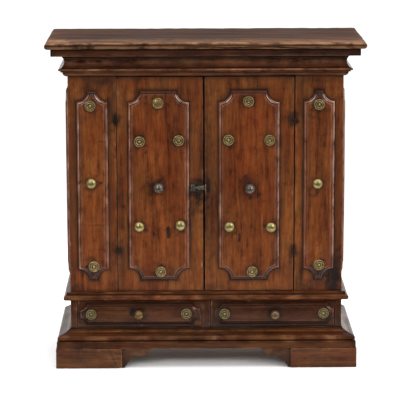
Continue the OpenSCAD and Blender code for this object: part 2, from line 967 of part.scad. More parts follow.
// Shaped bracket: x runs from the foot to the bracket's tip, y up
module bracket_profile(length) {
    scoop_r = foot_h - bracket_edge;
    difference() {
        square([length, foot_h]);
        polygon([[toe_w, -cut], [length + cut, -cut], [length + cut, bracket_edge],
            [cusp_out, bracket_edge], [cusp_out, bracket_edge - cusp_step], [toe_w, 0]]);
        translate([length, bracket_edge])
            circle(scoop_r);
    }
}

module front_brackets() {
    y_face = y_front - band_proud + bracket_back;
    color(walnut)
    for (side = [LEFT, RIGHT])
        mirror([side == LEFT ? 1 : 0, 0, 0])
            translate([half_w + foot_proud - foot_w, y_face + bracket_t, 0])
                rotate([90, 0, 0])
                    linear_extrude(bracket_t)
                        mirror([1, 0])
                            bracket_profile(bracket_l);
}

module side_brackets() {
    x_face = half_w + band_proud - bracket_back;
    color(walnut)
    for (side = [LEFT, RIGHT])
        mirror([side == LEFT ? 1 : 0, 0, 0]) {
            translate([x_face - bracket_t, y_front - foot_proud + foot_return, 0])
                rotate([90, 0, 90])
                    linear_extrude(bracket_t)
                        bracket_profile(side_bracket_l);
            translate([x_face - bracket_t, y_back - back_foot, 0])
                rotate([90, 0, 90])
                    linear_extrude(bracket_t)
                        mirror([1, 0])
                            bracket_profile(side_bracket_l);
        }
}

// Inside of the case

// Board between the side boards with its top face at the level z
module inner_board(y0, z) {
    translate([-inner_w / 2, y0, z - floor_t])
        cube([inner_w, y_boards - y0, floor_t]);
}

// Shanks of the back board nails, wider by the play
module nail_shanks(play = 0) {
    for (i = [0 : back_board_count - 1], end = [-1, 1], z = nail_rows())
        translate([back_board_x(i) + end * (back_board_w() / 2 - back_nail_inset), y_back, z])
            rotate([90, 0, 0])
                cylinder(r = back_nail_r + play, h = back_nail_l + play);
}

// Sunk heads of the back board nails, wider by the play
module nail_heads(play = 0) {
    for (i = [0 : back_board_count - 1], end = [-1, 1], z = nail_rows())
        translate([back_board_x(i) + end * (back_board_w() / 2 - back_nail_inset),
            y_back + play, z])
            rotate([90, 0, 0])
                cylinder(r = back_nail_head + play, h = back_nail_sink + play);
}

module cupboard_floor() {
    color(pale_wood)
    difference() {
        inner_board(y_inner, z_door);
        nail_shanks(ease);
    }
}

module shelf() {
    color(pale_wood)
    difference() {
        inner_board(y_inner, z_shelf + floor_t);
        nail_shanks(ease);
    }
}

module shelf_cleats() {
    color(pale_wood)
    for (side = [LEFT, RIGHT])
        translate([side * (inner_w - cleat) / 2, (y_inner + y_boards) / 2, z_shelf - cleat / 2])
            cube([cleat, y_boards - y_inner, cleat], center = true);
}

module drawer_floor() {
    color(pale_wood)
    difference() {
        inner_board(y_front, z_base);
        nail_shanks(ease);
    }
}

module back_boards() {
    color(pale_wood)
    difference() {
        for (i = [0 : back_board_count - 1])
            translate([back_board_x(i) - back_board_w() / 2, y_boards, z_base - floor_t])
                cube([back_board_w(), back_t, z_top - z_base + floor_t]);
        nail_shanks(ease);
        nail_heads(ease);
    }
}

module back_nails() {
    color(iron) {
        nail_shanks();
        nail_heads();
    }
}

// Hinges

// Iron eye: a flat ring on the hinge line with a shank slanting into the stile
module hinge_eyes(side) {
    color(iron)
    difference() {
        union() {
            for (z = hinge_levels)
                translate([axis_x(side), y_axis, z - eye_h / 2])
                    cylinder(r = eye_r, h = eye_h);
            eye_shanks(side);
        }
        for (z = hinge_levels)
            translate([axis_x(side), y_axis, z - eye_h])
                cylinder(r = wire_r + pin_play, h = 2 * eye_h);
    }
}

module left_hinge_eyes() {
    hinge_eyes(LEFT);
}

module right_hinge_eyes() {
    hinge_eyes(RIGHT);
}

// Iron staple: its upright is the pin in the eye, its two legs slant into the door
module staples(side, play = 0) {
    upper = eye_h / 2 + seat_gap + leg_r;
    for (z = hinge_levels)
        translate([axis_x(side), y_axis, z]) {
            translate([0, 0, upper - staple_h - wire_r])
                cylinder(r = wire_r + play, h = staple_h + 2 * wire_r);
            for (leg = [upper, upper - staple_h])
                translate([0, 0, leg])
                    rotate([0, 0, side > 0 ? 135 : 45])
                        rotate([0, 90, 0])
                            cylinder(r = leg_r + play, h = shank_l + play);
        }
}

module left_hinge_staples() {
    color(iron) staples(LEFT);
}

module right_hinge_staples() {
    color(iron) staples(RIGHT);
}

// Doors

module door_board(side, rings, domes, tang) {
    color(walnut)
    difference() {
        translate([door_x(side) - door_w(side) / 2, y_front, door_z])
            cube([door_w(side), door_t, door_h]);
        hinge_room(side);
        staples(side, ease);
        fixing_holes(door_panel_x(side), panel_mid_z(), y_front, nail_l - panel_t + joint_play,
            concat(rings, domes), [tang]);
    }
}

module door_panel(side, rings, domes, tang) {
    color(panel_walnut)
    difference() {
        on_front(door_panel_x(side), y_front, panel_mid_z())
            applied_panel(door_panel_w, panel_h, panel_t, door_scoop);
        fixing_holes(door_panel_x(side), panel_mid_z(), y_front - panel_t, nail_l,
            concat(rings, domes), [tang]);
    }
}

module door_knob(side, place) {
    color(bronze)
    on_front(door_panel_x(side) + place[0], y_front - panel_t, panel_mid_z() + place[1])
        knob();
}

module left_door_board() {
    door_board(LEFT, left_rings, left_domes, left_knob);
}

module right_door_board() {
    door_board(RIGHT, right_rings, right_domes, right_knob);
}

module left_door_panel() {
    door_panel(LEFT, left_rings, left_domes, left_knob);
}

module right_door_panel() {
    door_panel(RIGHT, right_rings, right_domes, right_knob);
}

module left_door_bosses() {
    color(brass)
    bosses(door_panel_x(LEFT), y_front - panel_t, panel_mid_z(), left_rings, left_domes);
}

module right_door_bosses() {
    color(brass)
    bosses(door_panel_x(RIGHT), y_front - panel_t, panel_mid_z(), right_rings, right_domes);
}

module left_door_knob() {
    door_knob(LEFT, left_knob);
}

module right_door_knob() {
    door_knob(RIGHT, right_knob);
}

// Latch

plate_x0 = door_panel_x(LEFT) + door_panel_w / 2 + plate_clear;
plate_w = door_free_edge(LEFT) - plate_in - plate_x0;
y_plate = y_front - plate_t;
y_bolt = y_plate - bolt_play;
nose_x = door_free_edge(RIGHT) - nose_gap;
flare_x = nose_x - nose_l;
strap_clear = 1;
tail_x = plate_x0 + bolt_travel;
strap_places = [tail_x + strap_clear, flare_x - bolt_travel - strap_w - strap_clear];

// Strap bent over the bolt, with its feet on the plate
module strap(x, opening_h, opening_t, y_foot) {
    translate([x, y_foot, z_latch])
        rotate([90, 0, 90])
            linear_extrude(strap_w)
                difference() {
                    translate([-opening_t - strap_t, -opening_h / 2 - strap_t])
                        square([opening_t + strap_t, opening_h + 2 * strap_t]);
                    translate([-opening_t, -opening_h / 2])
                        square([opening_t + cut, opening_h]);
                }
}

module latch_plate() {
    color(iron) {
        translate([plate_x0, y_plate, z_latch - plate_h / 2])
            cube([plate_w, plate_t, plate_h]);
        for (x = strap_places)
            strap(x, bolt_h + 2 * bolt_play, bolt_t + 2 * bolt_play, y_plate);
    }
}

// Bolt: a flat bar with a fishtail nose and a small stud to push it by
module latch_bolt() {
    waist_x = flare_x + nose_l * 0.45;
    color(iron) {
        translate([0, y_bolt, z_latch])
            rotate([90, 0, 0])
                linear_extrude(bolt_t)
                    polygon([[tail_x, -bolt_h / 2], [flare_x, -bolt_h / 2],
                        [flare_x + fish_slope, -nose_h / 2], [waist_x, -bolt_h / 2],
                        [nose_x, -nose_h / 2], [nose_x, nose_h / 2], [waist_x, bolt_h / 2],
                        [flare_x + fish_slope, nose_h / 2], [flare_x, bolt_h / 2],
                        [tail_x, bolt_h / 2]]);
        translate([waist_x, y_bolt - bolt_t + cut, z_latch])
            rotate([90, 0, 0])
                cylinder(r = stud_r, h = stud_l + cut);
    }
}

module latch_keep() {
    color(iron)
        strap(door_free_edge(RIGHT) + keep_in, nose_h + 2 * keep_room,
            bolt_t + plate_t + 2 * bolt_play, y_front);
}

// Drawers

// Tails of a drawer side, drawn along the board: x runs into the front, y up
module tail_profile() {
    pitch = drawer_side_h / tails;
    neck = pitch * 0.42;
    flare = 3;
    for (i = [0 : tails - 1])
        translate([0, pitch * (i + 0.5)])
            polygon([[0, -neck / 2], [0, neck / 2], [-tail_l, neck / 2 + flare],
                [-tail_l, -neck / 2 - flare]]);
}

// The two sides of a drawer with their tails
module side_pair(side) {
    y_tail = y_front + front_t;
    for (hand = [-1, 1])
        translate([drawer_x(side) + hand * (drawer_w() - drawer_side_t) / 2 - drawer_side_t / 2,
            0, side_z()])
            rotate([90, 0, 90])
                linear_extrude(drawer_side_t) {
                    translate([y_tail, 0])
                        square([drawer_l() - front_t, drawer_side_h]);
                    translate([y_tail, 0])
                        tail_profile();
                }
}

// Panel of the drawer bottom, let into its grooves by the depth given
module bottom_slab(side, depth) {
    clear_w = drawer_w() - 2 * drawer_side_t;
    translate([drawer_x(side) - clear_w / 2 - depth, y_front + front_t - depth, bottom_z()])
        cube([clear_w + 2 * depth, drawer_l() - front_t + depth, drawer_bottom_t]);
}

module drawer_front(side) {
    color(walnut)
    difference() {
        translate([drawer_x(side) - drawer_w() / 2, y_front, drawer_z()])
            cube([drawer_w(), front_t, drawer_front_h()]);
        side_pair(side);
        bottom_slab(side, groove_d);
        fixing_holes(drawer_panel_x(side), drawer_panel_z(), y_front,
            nail_l - drawer_panel_t + joint_play, drawer_rings(side), [drawer_knob_place(side)]);
    }
}

module drawer_panel(side) {
    color(panel_walnut)
    difference() {
        on_front(drawer_panel_x(side), y_front, drawer_panel_z())
            applied_panel(drawer_panel_w(), drawer_panel_h(), drawer_panel_t, drawer_scoop);
        fixing_holes(drawer_panel_x(side), drawer_panel_z(), y_front - drawer_panel_t, nail_l,
            drawer_rings(side), [drawer_knob_place(side)]);
    }
}

module drawer_bosses(side) {
    color(brass)
    bosses(drawer_panel_x(side), y_front - drawer_panel_t, drawer_panel_z(), drawer_rings(side), []);
}

module drawer_knob(side) {
    place = drawer_knob_place(side);
    color(bronze)
    on_front(drawer_panel_x(side) + place[0], y_front - drawer_panel_t, drawer_panel_z() + place[1])
        knob();
}

module drawer_sides(side) {
    color(pale_wood)
    difference() {
        side_pair(side);
        bottom_slab(side, groove_d);
    }
}

module drawer_back(side) {
    clear_w = drawer_w() - 2 * drawer_side_t;
    z = bottom_z() + drawer_bottom_t;
    color(pale_wood)
    translate([drawer_x(side) - clear_w / 2, y_front + drawer_l() - drawer_side_t, z])
        cube([clear_w, drawer_side_t, side_z() + drawer_side_h - z]);
}

module drawer_bottom(side) {
    color(pale_wood) bottom_slab(side, groove_d);
}

module left_drawer_front() {
    drawer_front(LEFT);
}

module left_drawer_panel() {
    drawer_panel(LEFT);
}

module left_drawer_bosses() {
    drawer_bosses(LEFT);
}

module left_drawer_knob() {
    drawer_knob(LEFT);
}

module left_drawer_sides() {
    drawer_sides(LEFT);
}

module left_drawer_back() {
    drawer_back(LEFT);
}

module left_drawer_bottom() {
    drawer_bottom(LEFT);
}

module right_drawer_front() {
    drawer_front(RIGHT);
}

module right_drawer_panel() {
    drawer_panel(RIGHT);
}

module right_drawer_bosses() {
    drawer_bosses(RIGHT);
}

module right_drawer_knob() {
    drawer_knob(RIGHT);
}

module right_drawer_sides() {
    drawer_sides(RIGHT);
}

module right_drawer_back() {
    drawer_back(RIGHT);
}

module right_drawer_bottom() {
    drawer_bottom(RIGHT);
}

top_board();
cornice_fillet_front();
cornice_fillet_sides();
cornice_moulding_front();
cornice_moulding_sides();
left_side_board();
right_side_board();
side_panels();
left_stile();
right_stile();
stile_panels();
stile_bosses();
top_rail();
waist_rail();
drawer_partition();
waist_moulding_front();
waist_moulding_sides();
base_moulding_front();
base_moulding_sides();
front_foot_boards();
side_foot_boards();
back_foot_boards();
corner_blocks();
front_brackets();
side_brackets();
cupboard_floor();
shelf();
shelf_cleats();
drawer_floor();
back_boards();
back_nails();
left_hinge_eyes();
right_hinge_eyes();
left_door_board();
left_door_panel();
left_door_bosses();
left_door_knob();
left_hinge_staples();
latch_plate();
latch_bolt();
right_door_board();
right_door_panel();
right_door_bosses();
right_door_knob();
right_hinge_staples();
latch_keep();
left_drawer_front();
left_drawer_panel();
left_drawer_bosses();
left_drawer_knob();
left_drawer_sides();
left_drawer_back();
left_drawer_bottom();
right_drawer_front();
right_drawer_panel();
right_drawer_bosses();
right_drawer_knob();
right_drawer_sides();
right_drawer_back();
right_drawer_bottom();
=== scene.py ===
# Walnut credenza with two doors over two drawers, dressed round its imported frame.
# Sizes are in millimetres in the frame's own axes: X to the right, Y to the back, Z up from the floor.
from functools import partial

import bpy
import numpy as np
from mathutils import Matrix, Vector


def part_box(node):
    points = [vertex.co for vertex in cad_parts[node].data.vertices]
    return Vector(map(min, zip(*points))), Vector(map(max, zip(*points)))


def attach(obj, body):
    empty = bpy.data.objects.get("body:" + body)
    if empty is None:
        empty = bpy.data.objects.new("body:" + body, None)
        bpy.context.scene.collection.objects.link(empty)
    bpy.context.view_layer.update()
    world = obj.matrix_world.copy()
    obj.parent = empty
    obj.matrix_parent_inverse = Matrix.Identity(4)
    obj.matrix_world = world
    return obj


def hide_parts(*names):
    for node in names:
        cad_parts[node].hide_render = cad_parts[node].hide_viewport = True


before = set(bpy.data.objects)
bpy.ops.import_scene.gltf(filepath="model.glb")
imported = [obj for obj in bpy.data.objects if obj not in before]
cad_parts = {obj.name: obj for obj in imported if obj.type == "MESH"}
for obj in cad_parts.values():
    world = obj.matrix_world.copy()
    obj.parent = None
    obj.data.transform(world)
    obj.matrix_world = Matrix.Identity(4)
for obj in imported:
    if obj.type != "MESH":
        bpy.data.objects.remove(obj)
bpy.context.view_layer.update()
scene = bpy.context.scene

# Camera
# It stands about six metres in front of the doors with its lens at 1.65 m, and looks down by 11 degrees.
LENS_PLACE = (-0.0741, -6.0958, 1.65)
LENS_TURN, LENS_DROP, LENS_ROLL = 0.0095, 0.1899, -0.0027
camera = bpy.data.objects.new("camera", bpy.data.cameras.new("camera"))
scene.collection.objects.link(camera)
camera.data.lens = 183.32
camera.location = LENS_PLACE
camera.rotation_euler = (
    Matrix.Rotation(-LENS_TURN, 3, "Z")
    @ Matrix.Rotation(np.pi / 2 - LENS_DROP, 3, "X")
    @ Matrix.Rotation(LENS_ROLL, 3, "Z")
).to_euler()
scene.camera = camera

# Floor and light
# A small pale floor under a white sky that is dimmer straight ahead and near the ground and brighter on
# the right, with a tall soft box standing on each side in front and a wide one overhead. A last one
# high in front is crossed by a filter, so it lights the wood and leaves no shine. The white wall behind
# shows only in the wax.


def tone(red, green, blue):
    """A colour as the eye reads it, 0 to 255, turned into the light values that shaders use."""
    eye = np.array([red, green, blue]) / 255
    light = np.where(eye <= 0.04045, eye / 12.92, ((eye + 0.055) / 1.055) ** 2.4)
    return (*light.tolist(), 1.0)


def add(tree, kind, inputs=(), **settings):
    """Adds one shader node. inputs holds pairs of a socket's name or number with its value or the
    output that feeds it, and the other words are the node's own settings."""
    made = tree.nodes.new(kind)
    for word, value in settings.items():
        setattr(made, word, value)
    for socket, value in inputs:
        if isinstance(value, bpy.types.NodeSocket):
            tree.links.new(value, made.inputs[socket])
        else:
            made.inputs[socket].default_value = value
    return made


def ramped(tree, value, low, high, to_low=0.0, to_high=1.0):
    """A value carried evenly from low and high to to_low and to_high, and held beyond them."""
    ends = [(0, value), (1, low), (2, high), (3, to_low), (4, to_high)]
    return add(tree, "ShaderNodeMapRange", ends).outputs[0]


def maths(tree, operation, one, two=0.0, clamp=False):
    """One operation on one or two numbers."""
    return add(
        tree, "ShaderNodeMath", [(0, one), (1, two)], operation=operation, use_clamp=clamp,
    ).outputs[0]


def moved(tree, operation, one, two):
    """One operation on one or two vectors."""
    return add(tree, "ShaderNodeVectorMath", [(0, one), (1, two)], operation=operation).outputs[0]


def blended(tree, share, one, two, blend="MIX"):
    """Two colours mixed by share, from 0 to 1."""
    colours = [(0, share), (6, one), (7, two)]
    return add(tree, "ShaderNodeMix", colours, data_type="RGBA", blend_type=blend).outputs[2]


def marks_in(tree):
    """The wear, dirt and stain that a piece brings, each from 0 to 1. Wear also carries painted highlights,
    dirt painted shade, and stain painted shadow rings.
    """
    marks = add(tree, "ShaderNodeAttribute", attribute_name="marks").outputs["Color"]
    return add(tree, "ShaderNodeSeparateColor", [(0, marks)]).outputs


def surface(tree, out, inputs):
    """Adds the one shader of a material and joins it to the output node."""
    tree.links.new(add(tree, "ShaderNodeBsdfPrincipled", inputs).outputs[0], out.inputs[0])


def new_material(name):
    """An empty node material with its output node."""
    material = bpy.data.materials.new(name)
    material.use_nodes = True
    material.node_tree.nodes.clear()
    return material, add(material.node_tree, "ShaderNodeOutputMaterial")


scene.view_settings.view_transform = "Standard"
scene.world = bpy.data.worlds.new("white_sky")
scene.world.use_nodes = True
sky = scene.world.node_tree
sky.nodes.clear()
way = add(sky, "ShaderNodeTexCoord").outputs["Generated"]
sky_x, sky_y, sky_z = add(sky, "ShaderNodeSeparateXYZ", [(0, way)]).outputs
seen = add(sky, "ShaderNodeLightPath").outputs
light = maths(
    sky, "MULTIPLY", ramped(sky, sky_y, -0.85, -0.3, 0.12), ramped(sky, sky_x, -1.0, 1.0, 0.9, 2.1),
)
side_keep = ramped(sky, maths(sky, "ABSOLUTE", sky_x), 0.45, 0.8, 0.0, 0.5)
low_fall = maths(sky, "MAXIMUM", ramped(sky, sky_z, 0.1, 0.5, 0.12), side_keep)
mirrored = maths(sky, "MULTIPLY", ramped(sky, sky_y, 0.3, 0.8), seen["Is Glossy Ray"])
mirrored = maths(sky, "MULTIPLY", mirrored, ramped(sky, sky_z, -0.12, 0.0))
light = maths(sky, "MULTIPLY", light, maths(sky, "MAXIMUM", low_fall, mirrored))
amount = add(sky, "ShaderNodeMix", [(0, seen["Is Camera Ray"]), (2, light), (3, 1.1)])
glow = add(sky, "ShaderNodeBackground", [("Color", (1, 1, 1, 1)), ("Strength", amount.outputs[0])])
add(sky, "ShaderNodeOutputWorld", [("Surface", glow.outputs[0])])

for name, place, width, height, power in (
    ("key", (2.4, -2.9, 2.2), 0.6, 1.4, 38.0),
    ("fill", (-2.0, -3.8, 2.5), 0.6, 1.4, 45.0),
    ("overhead", (0.0, -0.2, 3.4), 3.0, 3.0, 60.0),
    ("front", (0.0, -3.6, 2.1), 2.6, 1.0, 47.0),
):
    lamp = bpy.data.objects.new(name, bpy.data.lights.new(name, "AREA"))
    lamp.data.shape = "RECTANGLE"
    lamp.data.size, lamp.data.size_y = width, height
    lamp.data.energy = power
    lamp.location = place
    lamp.visible_glossy = name != "front"
    aim = np.array([0.0, -0.1, 0.5]) - place
    lamp.rotation_euler = (
        np.arccos(-aim[2] / np.linalg.norm(aim)), 0, np.arctan2(aim[1], aim[0]) - np.pi / 2,
    )
    scene.collection.objects.link(lamp)

floor_material, floor_out = new_material("pale_floor")
surface(
    floor_material.node_tree, floor_out,
    [("Base Color", (0.96, 0.96, 0.96, 1)), ("Roughness", 0.9), ("Specular IOR Level", 0.1)],
)
FLOOR_R, FLOOR_BACK, FLOOR_SIDES = 1.4, 0.6, 64
around = np.linspace(0, 2 * np.pi, FLOOR_SIDES + 1)[:-1]
floor_rim = np.stack(
    [FLOOR_R * np.cos(around), FLOOR_BACK + FLOOR_R * np.sin(around), np.full(FLOOR_SIDES, -0.0005)], 1
)
floor_mesh = bpy.data.meshes.new("floor")
floor_mesh.from_pydata(floor_rim.tolist(), [], [list(range(FLOOR_SIDES))])
floor_mesh.materials.append(floor_material)
floor = bpy.data.objects.new("floor", floor_mesh)
scene.collection.objects.link(floor)

# Old walnut
# Waxed and handled for three centuries: reddish boards with long dark figure, fine open pores, black
# dirt in the hollows, paler wood where the arrises have rubbed, and stains round the ironwork. The same
# marks also paint highlights, shade and shadow rings onto the wood.


def old_wood():
    """Node group for every wooden surface. Along is the place in the board in metres, with its third
    number along the fibre. Broad figure, streaks and fibres are noises drawn out along the fibre by
    about 15 to 30 times. The marks attribute of a piece gives wear, dirt and stain from 0 to 1; wear
    also carries painted highlights, dirt painted shade, and stain painted shadow rings."""
    group = bpy.data.node_groups.new("old_wood", "ShaderNodeTree")
    face = group.interface
    face.new_socket("Along", in_out="INPUT", socket_type="NodeSocketVector")
    for word in ("Dark", "Middle", "Light", "Rubbed", "Dirt"):
        face.new_socket(word, in_out="INPUT", socket_type="NodeSocketColor")
    for word in ("Figure", "Gloss"):
        face.new_socket(word, in_out="INPUT", socket_type="NodeSocketFloat")
    face.new_socket("Color", in_out="OUTPUT", socket_type="NodeSocketColor")
    for word in ("Roughness", "Height"):
        face.new_socket(word, in_out="OUTPUT", socket_type="NodeSocketFloat")
    given = add(group, "NodeGroupInput").outputs

    sums, ramp, mixed = (partial(maker, group) for maker in (maths, ramped, blended))

    def drawn(across, along, detail, roughness=0.55, distortion=0.0):
        place = moved(group, "MULTIPLY", given["Along"], (across, across, along))
        kind = [("Scale", 1.0), ("Detail", detail), ("Roughness", roughness), ("Distortion", distortion)]
        return add(group, "ShaderNodeTexNoise", [("Vector", place), *kind]).outputs[0]

    figure = drawn(26, 2.2, 3, 0.5, 1.4)
    streak = drawn(120, 6, 4, 0.6, 0.6)
    fibre = drawn(650, 24, 3, 0.6)
    pore = ramp(drawn(1300, 60, 1), 0.6, 0.7)
    crack = ramp(drawn(260, 17, 2, 0.5, 0.3), 0.685, 0.74)
    patch = drawn(11, 4.5, 3, 0.55, 0.8)
    mottle = drawn(48, 30, 5, 0.65)
    speck = ramp(drawn(240, 150, 3, 0.6), 0.66, 0.73)
    fleck = ramp(drawn(340, 60, 3, 0.6), 0.53, 0.68)
    wear, dirt, stain = marks_in(group)

    strong = sums("MULTIPLY", sums("SUBTRACT", figure, 0.5), given["Figure"])
    shade = sums("ADD", sums("ADD", strong, sums("MULTIPLY", streak, 0.28)), sums("MULTIPLY", fibre, 0.34))
    shade = sums("ADD", shade, sums("MULTIPLY", sums("SUBTRACT", mottle, 0.5), 0.42))
    colour = mixed(ramp(shade, 0.16, 0.33), given["Dark"], given["Middle"])
    colour = mixed(ramp(shade, 0.33, 0.52), colour, given["Light"])
    colour = mixed(
        ramp(patch, 0.38, 0.62, 0.0, 0.75), colour, mixed(1.0, colour, tone(222, 186, 180), "MULTIPLY"),
    )
    colour = mixed(sums("MULTIPLY", pore, 0.4), colour, given["Dirt"])
    colour = mixed(ramp(mottle, 0.52, 0.74, 0.0, 0.4), colour, given["Dark"])
    colour = mixed(sums("MULTIPLY", fleck, 0.3), colour, given["Dark"])
    colour = mixed(sums("MULTIPLY", sums("MAXIMUM", crack, speck), 0.62), colour, given["Dirt"])
    # Wear pales the wood towards the rubbed tone, for rubbed arrises and for painted highlights.
    rubbed = sums("MULTIPLY", wear, ramp(mottle, 0.34, 0.56), True)
    colour = mixed(sums("MULTIPLY", rubbed, 0.8), colour, given["Rubbed"])
    # Dirt darkens it, for real dirt and for painted shade.
    grimed_and_shaded = sums("MULTIPLY", dirt, ramp(mottle, 0.25, 0.5, 0.7, 1.15), True)
    colour = mixed(sums("MULTIPLY", grimed_and_shaded, 0.88), colour, given["Dirt"])
    # Stain darkens it, for real stains and for painted shadow rings round the fittings.
    colour = mixed(
        sums("MULTIPLY", stain, ramp(mottle, 0.3, 0.55, 0.55, 1.0), True), colour, tone(26, 19, 18),
    )
    rough = sums("ADD", given["Gloss"], sums("MULTIPLY", sums("SUBTRACT", mottle, 0.5), 0.35))
    rough = sums("ADD", rough, sums("MULTIPLY", grimed_and_shaded, 0.25))
    ridges = sums("ADD", sums("MULTIPLY", fibre, 0.35), sums("MULTIPLY", streak, 0.5))
    height = sums("SUBTRACT", ridges, sums("MULTIPLY", sums("MAXIMUM", pore, crack), 0.6))
    add(group, "NodeGroupOutput", [("Color", colour), ("Roughness", rough), ("Height", height)])
    return group


OLD_WOOD = old_wood()
TURN_TO_FIBRE = {"X": (0, -np.pi / 2, 0), "Y": (np.pi / 2, 0, 0), "Z": (0, 0, 0)}
BOARD_SHIFT = (1.37, 1.37, 1.37)


def wood(
    name, dark, middle, light, rubbed, dirt, figure=1.0, gloss=0.42, fibre=None, bump=0.35, wax=0.5,
    shine=0.16, graze=0.0, boards=None,
):
    """Wood in its own tones. At a low angle the dry wax on a board mirrors less, and on wood with a value
    for graze it mirrors more, in streaks. A piece made here brings its place along the fibre as an
    attribute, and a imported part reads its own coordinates, turned so that the fibre runs along the axis
    named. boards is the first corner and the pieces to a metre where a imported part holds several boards:
    their numbers move the figure, so that each has its own."""
    material, out = new_material(name)
    tree = material.node_tree
    if fibre:
        place = add(tree, "ShaderNodeTexCoord").outputs["Object"]
        if boards:
            number = place
            for operation, by in (
                ("SUBTRACT", boards[0]), ("MULTIPLY", boards[1]), ("FLOOR", (0, 0, 0)),
                ("MULTIPLY", BOARD_SHIFT),
            ):
                number = moved(tree, operation, number, by)
            place = moved(tree, "ADD", place, number)
        place = add(
            tree, "ShaderNodeMapping", [("Vector", place), ("Rotation", TURN_TO_FIBRE[fibre])],
        ).outputs[0]
    else:
        place = add(tree, "ShaderNodeAttribute", attribute_name="grain").outputs["Vector"]
    tones = zip(("Dark", "Middle", "Light", "Rubbed", "Dirt"), (dark, middle, light, rubbed, dirt))
    given = [
        ("Along", place), ("Figure", figure), ("Gloss", gloss), *((word, tone(*t)) for word, t in tones)
    ]
    made = add(tree, "ShaderNodeGroup", given, node_tree=OLD_WOOD).outputs
    relief = add(
        tree, "ShaderNodeBump", [("Strength", bump), ("Distance", 0.0006), ("Height", made["Height"])],
    )
    facing = add(tree, "ShaderNodeLayerWeight", [("Blend", 0.5)]).outputs["Facing"]
    if graze:
        wax = ramped(tree, facing, 0.74, 0.88, wax, graze)
        wax = maths(tree, "MULTIPLY", wax, ramped(tree, made["Height"], 0.3, 0.52, 0.35))
    else:
        wax = ramped(tree, facing, 0.4, 0.7, wax, wax * 0.15)
    surface(tree, out, [
        ("Base Color", made["Color"]), ("Roughness", made["Roughness"]), ("Normal", relief.outputs[0]),
        ("Specular IOR Level", shine), ("Coat Weight", wax), ("Coat Roughness", 0.13),
        ("Coat Tint", (1.0, 0.9, 0.74, 1) if graze else (1, 1, 1, 1)),
    ])
    return material


# Black of old dirt, which also serves as painted shade.
BLACK_DIRT_AND_SHADE = (22, 14, 10)
walnut = wood(
    "walnut", (64, 36, 19), (122, 70, 32), (158, 97, 47), (190, 140, 108), BLACK_DIRT_AND_SHADE, 0.42, wax=0.7,
)
# Its pale pink rubbed tone also paints the highlights on the applied panels' rims.
panel_walnut = wood(
    "panel_walnut", (64, 32, 16), (119, 64, 28), (154, 91, 42), (222, 182, 164), BLACK_DIRT_AND_SHADE, 0.38, wax=0.7,
)
dark_walnut = wood(
    "dark_walnut", (30, 16, 11), (66, 36, 20), (94, 54, 27), (150, 106, 76), BLACK_DIRT_AND_SHADE, 0.5, wax=0.6,
)
base_walnut = wood(
    "base_walnut", (39, 22, 12), (76, 43, 20), (105, 61, 28), (164, 116, 78), BLACK_DIRT_AND_SHADE, 0.5, wax=0.15,
    shine=0.04, graze=0.8,
)
cornice_walnut = wood(
    "cornice_walnut", (50, 27, 17), (95, 54, 30), (128, 76, 41), (176, 128, 98), BLACK_DIRT_AND_SHADE, 0.5, wax=0.3,
    shine=0.06, graze=0.7,
)
waist_walnut = wood(
    "waist_walnut", (44, 23, 12), (88, 48, 21), (124, 70, 32), (180, 120, 76), BLACK_DIRT_AND_SHADE, 0.5, wax=0.15,
    shine=0.04, graze=0.8,
)
# Its pale pink rubbed tone also paints the highlights on the drawer panels' rims.
drawer_walnut = wood(
    "drawer_walnut", (37, 20, 11), (74, 42, 22), (102, 61, 31), (196, 152, 138), BLACK_DIRT_AND_SHADE, 0.45, wax=0.2,
    shine=0.04,
)
foot_walnut = wood(
    "foot_walnut", (52, 32, 20), (90, 55, 31), (114, 73, 42), (150, 106, 76), BLACK_DIRT_AND_SHADE, 0.45, wax=0.1,
    shine=0.06,
)
top_walnut = wood(
    "top_walnut", (34, 20, 13), (62, 38, 24), (86, 56, 34), (150, 110, 80), BLACK_DIRT_AND_SHADE, 0.7, 0.75, wax=0.0,
    shine=0.06,
)


def ripple(points, size, seed, runs=9):
    """Smooth random relief, mostly between -1 and 1: the sum of straight cosine waves that run in random
    directions, with lengths round the given size and random phases."""
    random = np.random.default_rng(seed)
    ways = random.normal(size=(runs, 3))
    ways *= (2 * np.pi / (size * random.uniform(0.6, 1.7, runs)) / np.linalg.norm(ways, axis=1))[:, None]
    return np.cos(points @ ways.T + random.uniform(0, 2 * np.pi, runs)).sum(1) / np.sqrt(1.5 * runs)


def spread(*parts):
    """Several rows, columns or numbers laid on one grid, as the last axis of one array."""
    return np.stack(np.broadcast_arrays(*parts), -1)


def marks_of(wear, dirt):
    """Marks for each point, with no stain."""
    return spread(wear, dirt, 0.0)


def bell(off, width):
    """1 where off is 0, and e to the minus (off / width) squared elsewhere."""
    return np.exp(-((off / width) ** 2))


def fade(off, reach):
    """1 where off is 0, and e to the minus off / reach elsewhere."""
    return np.exp(-off / reach)


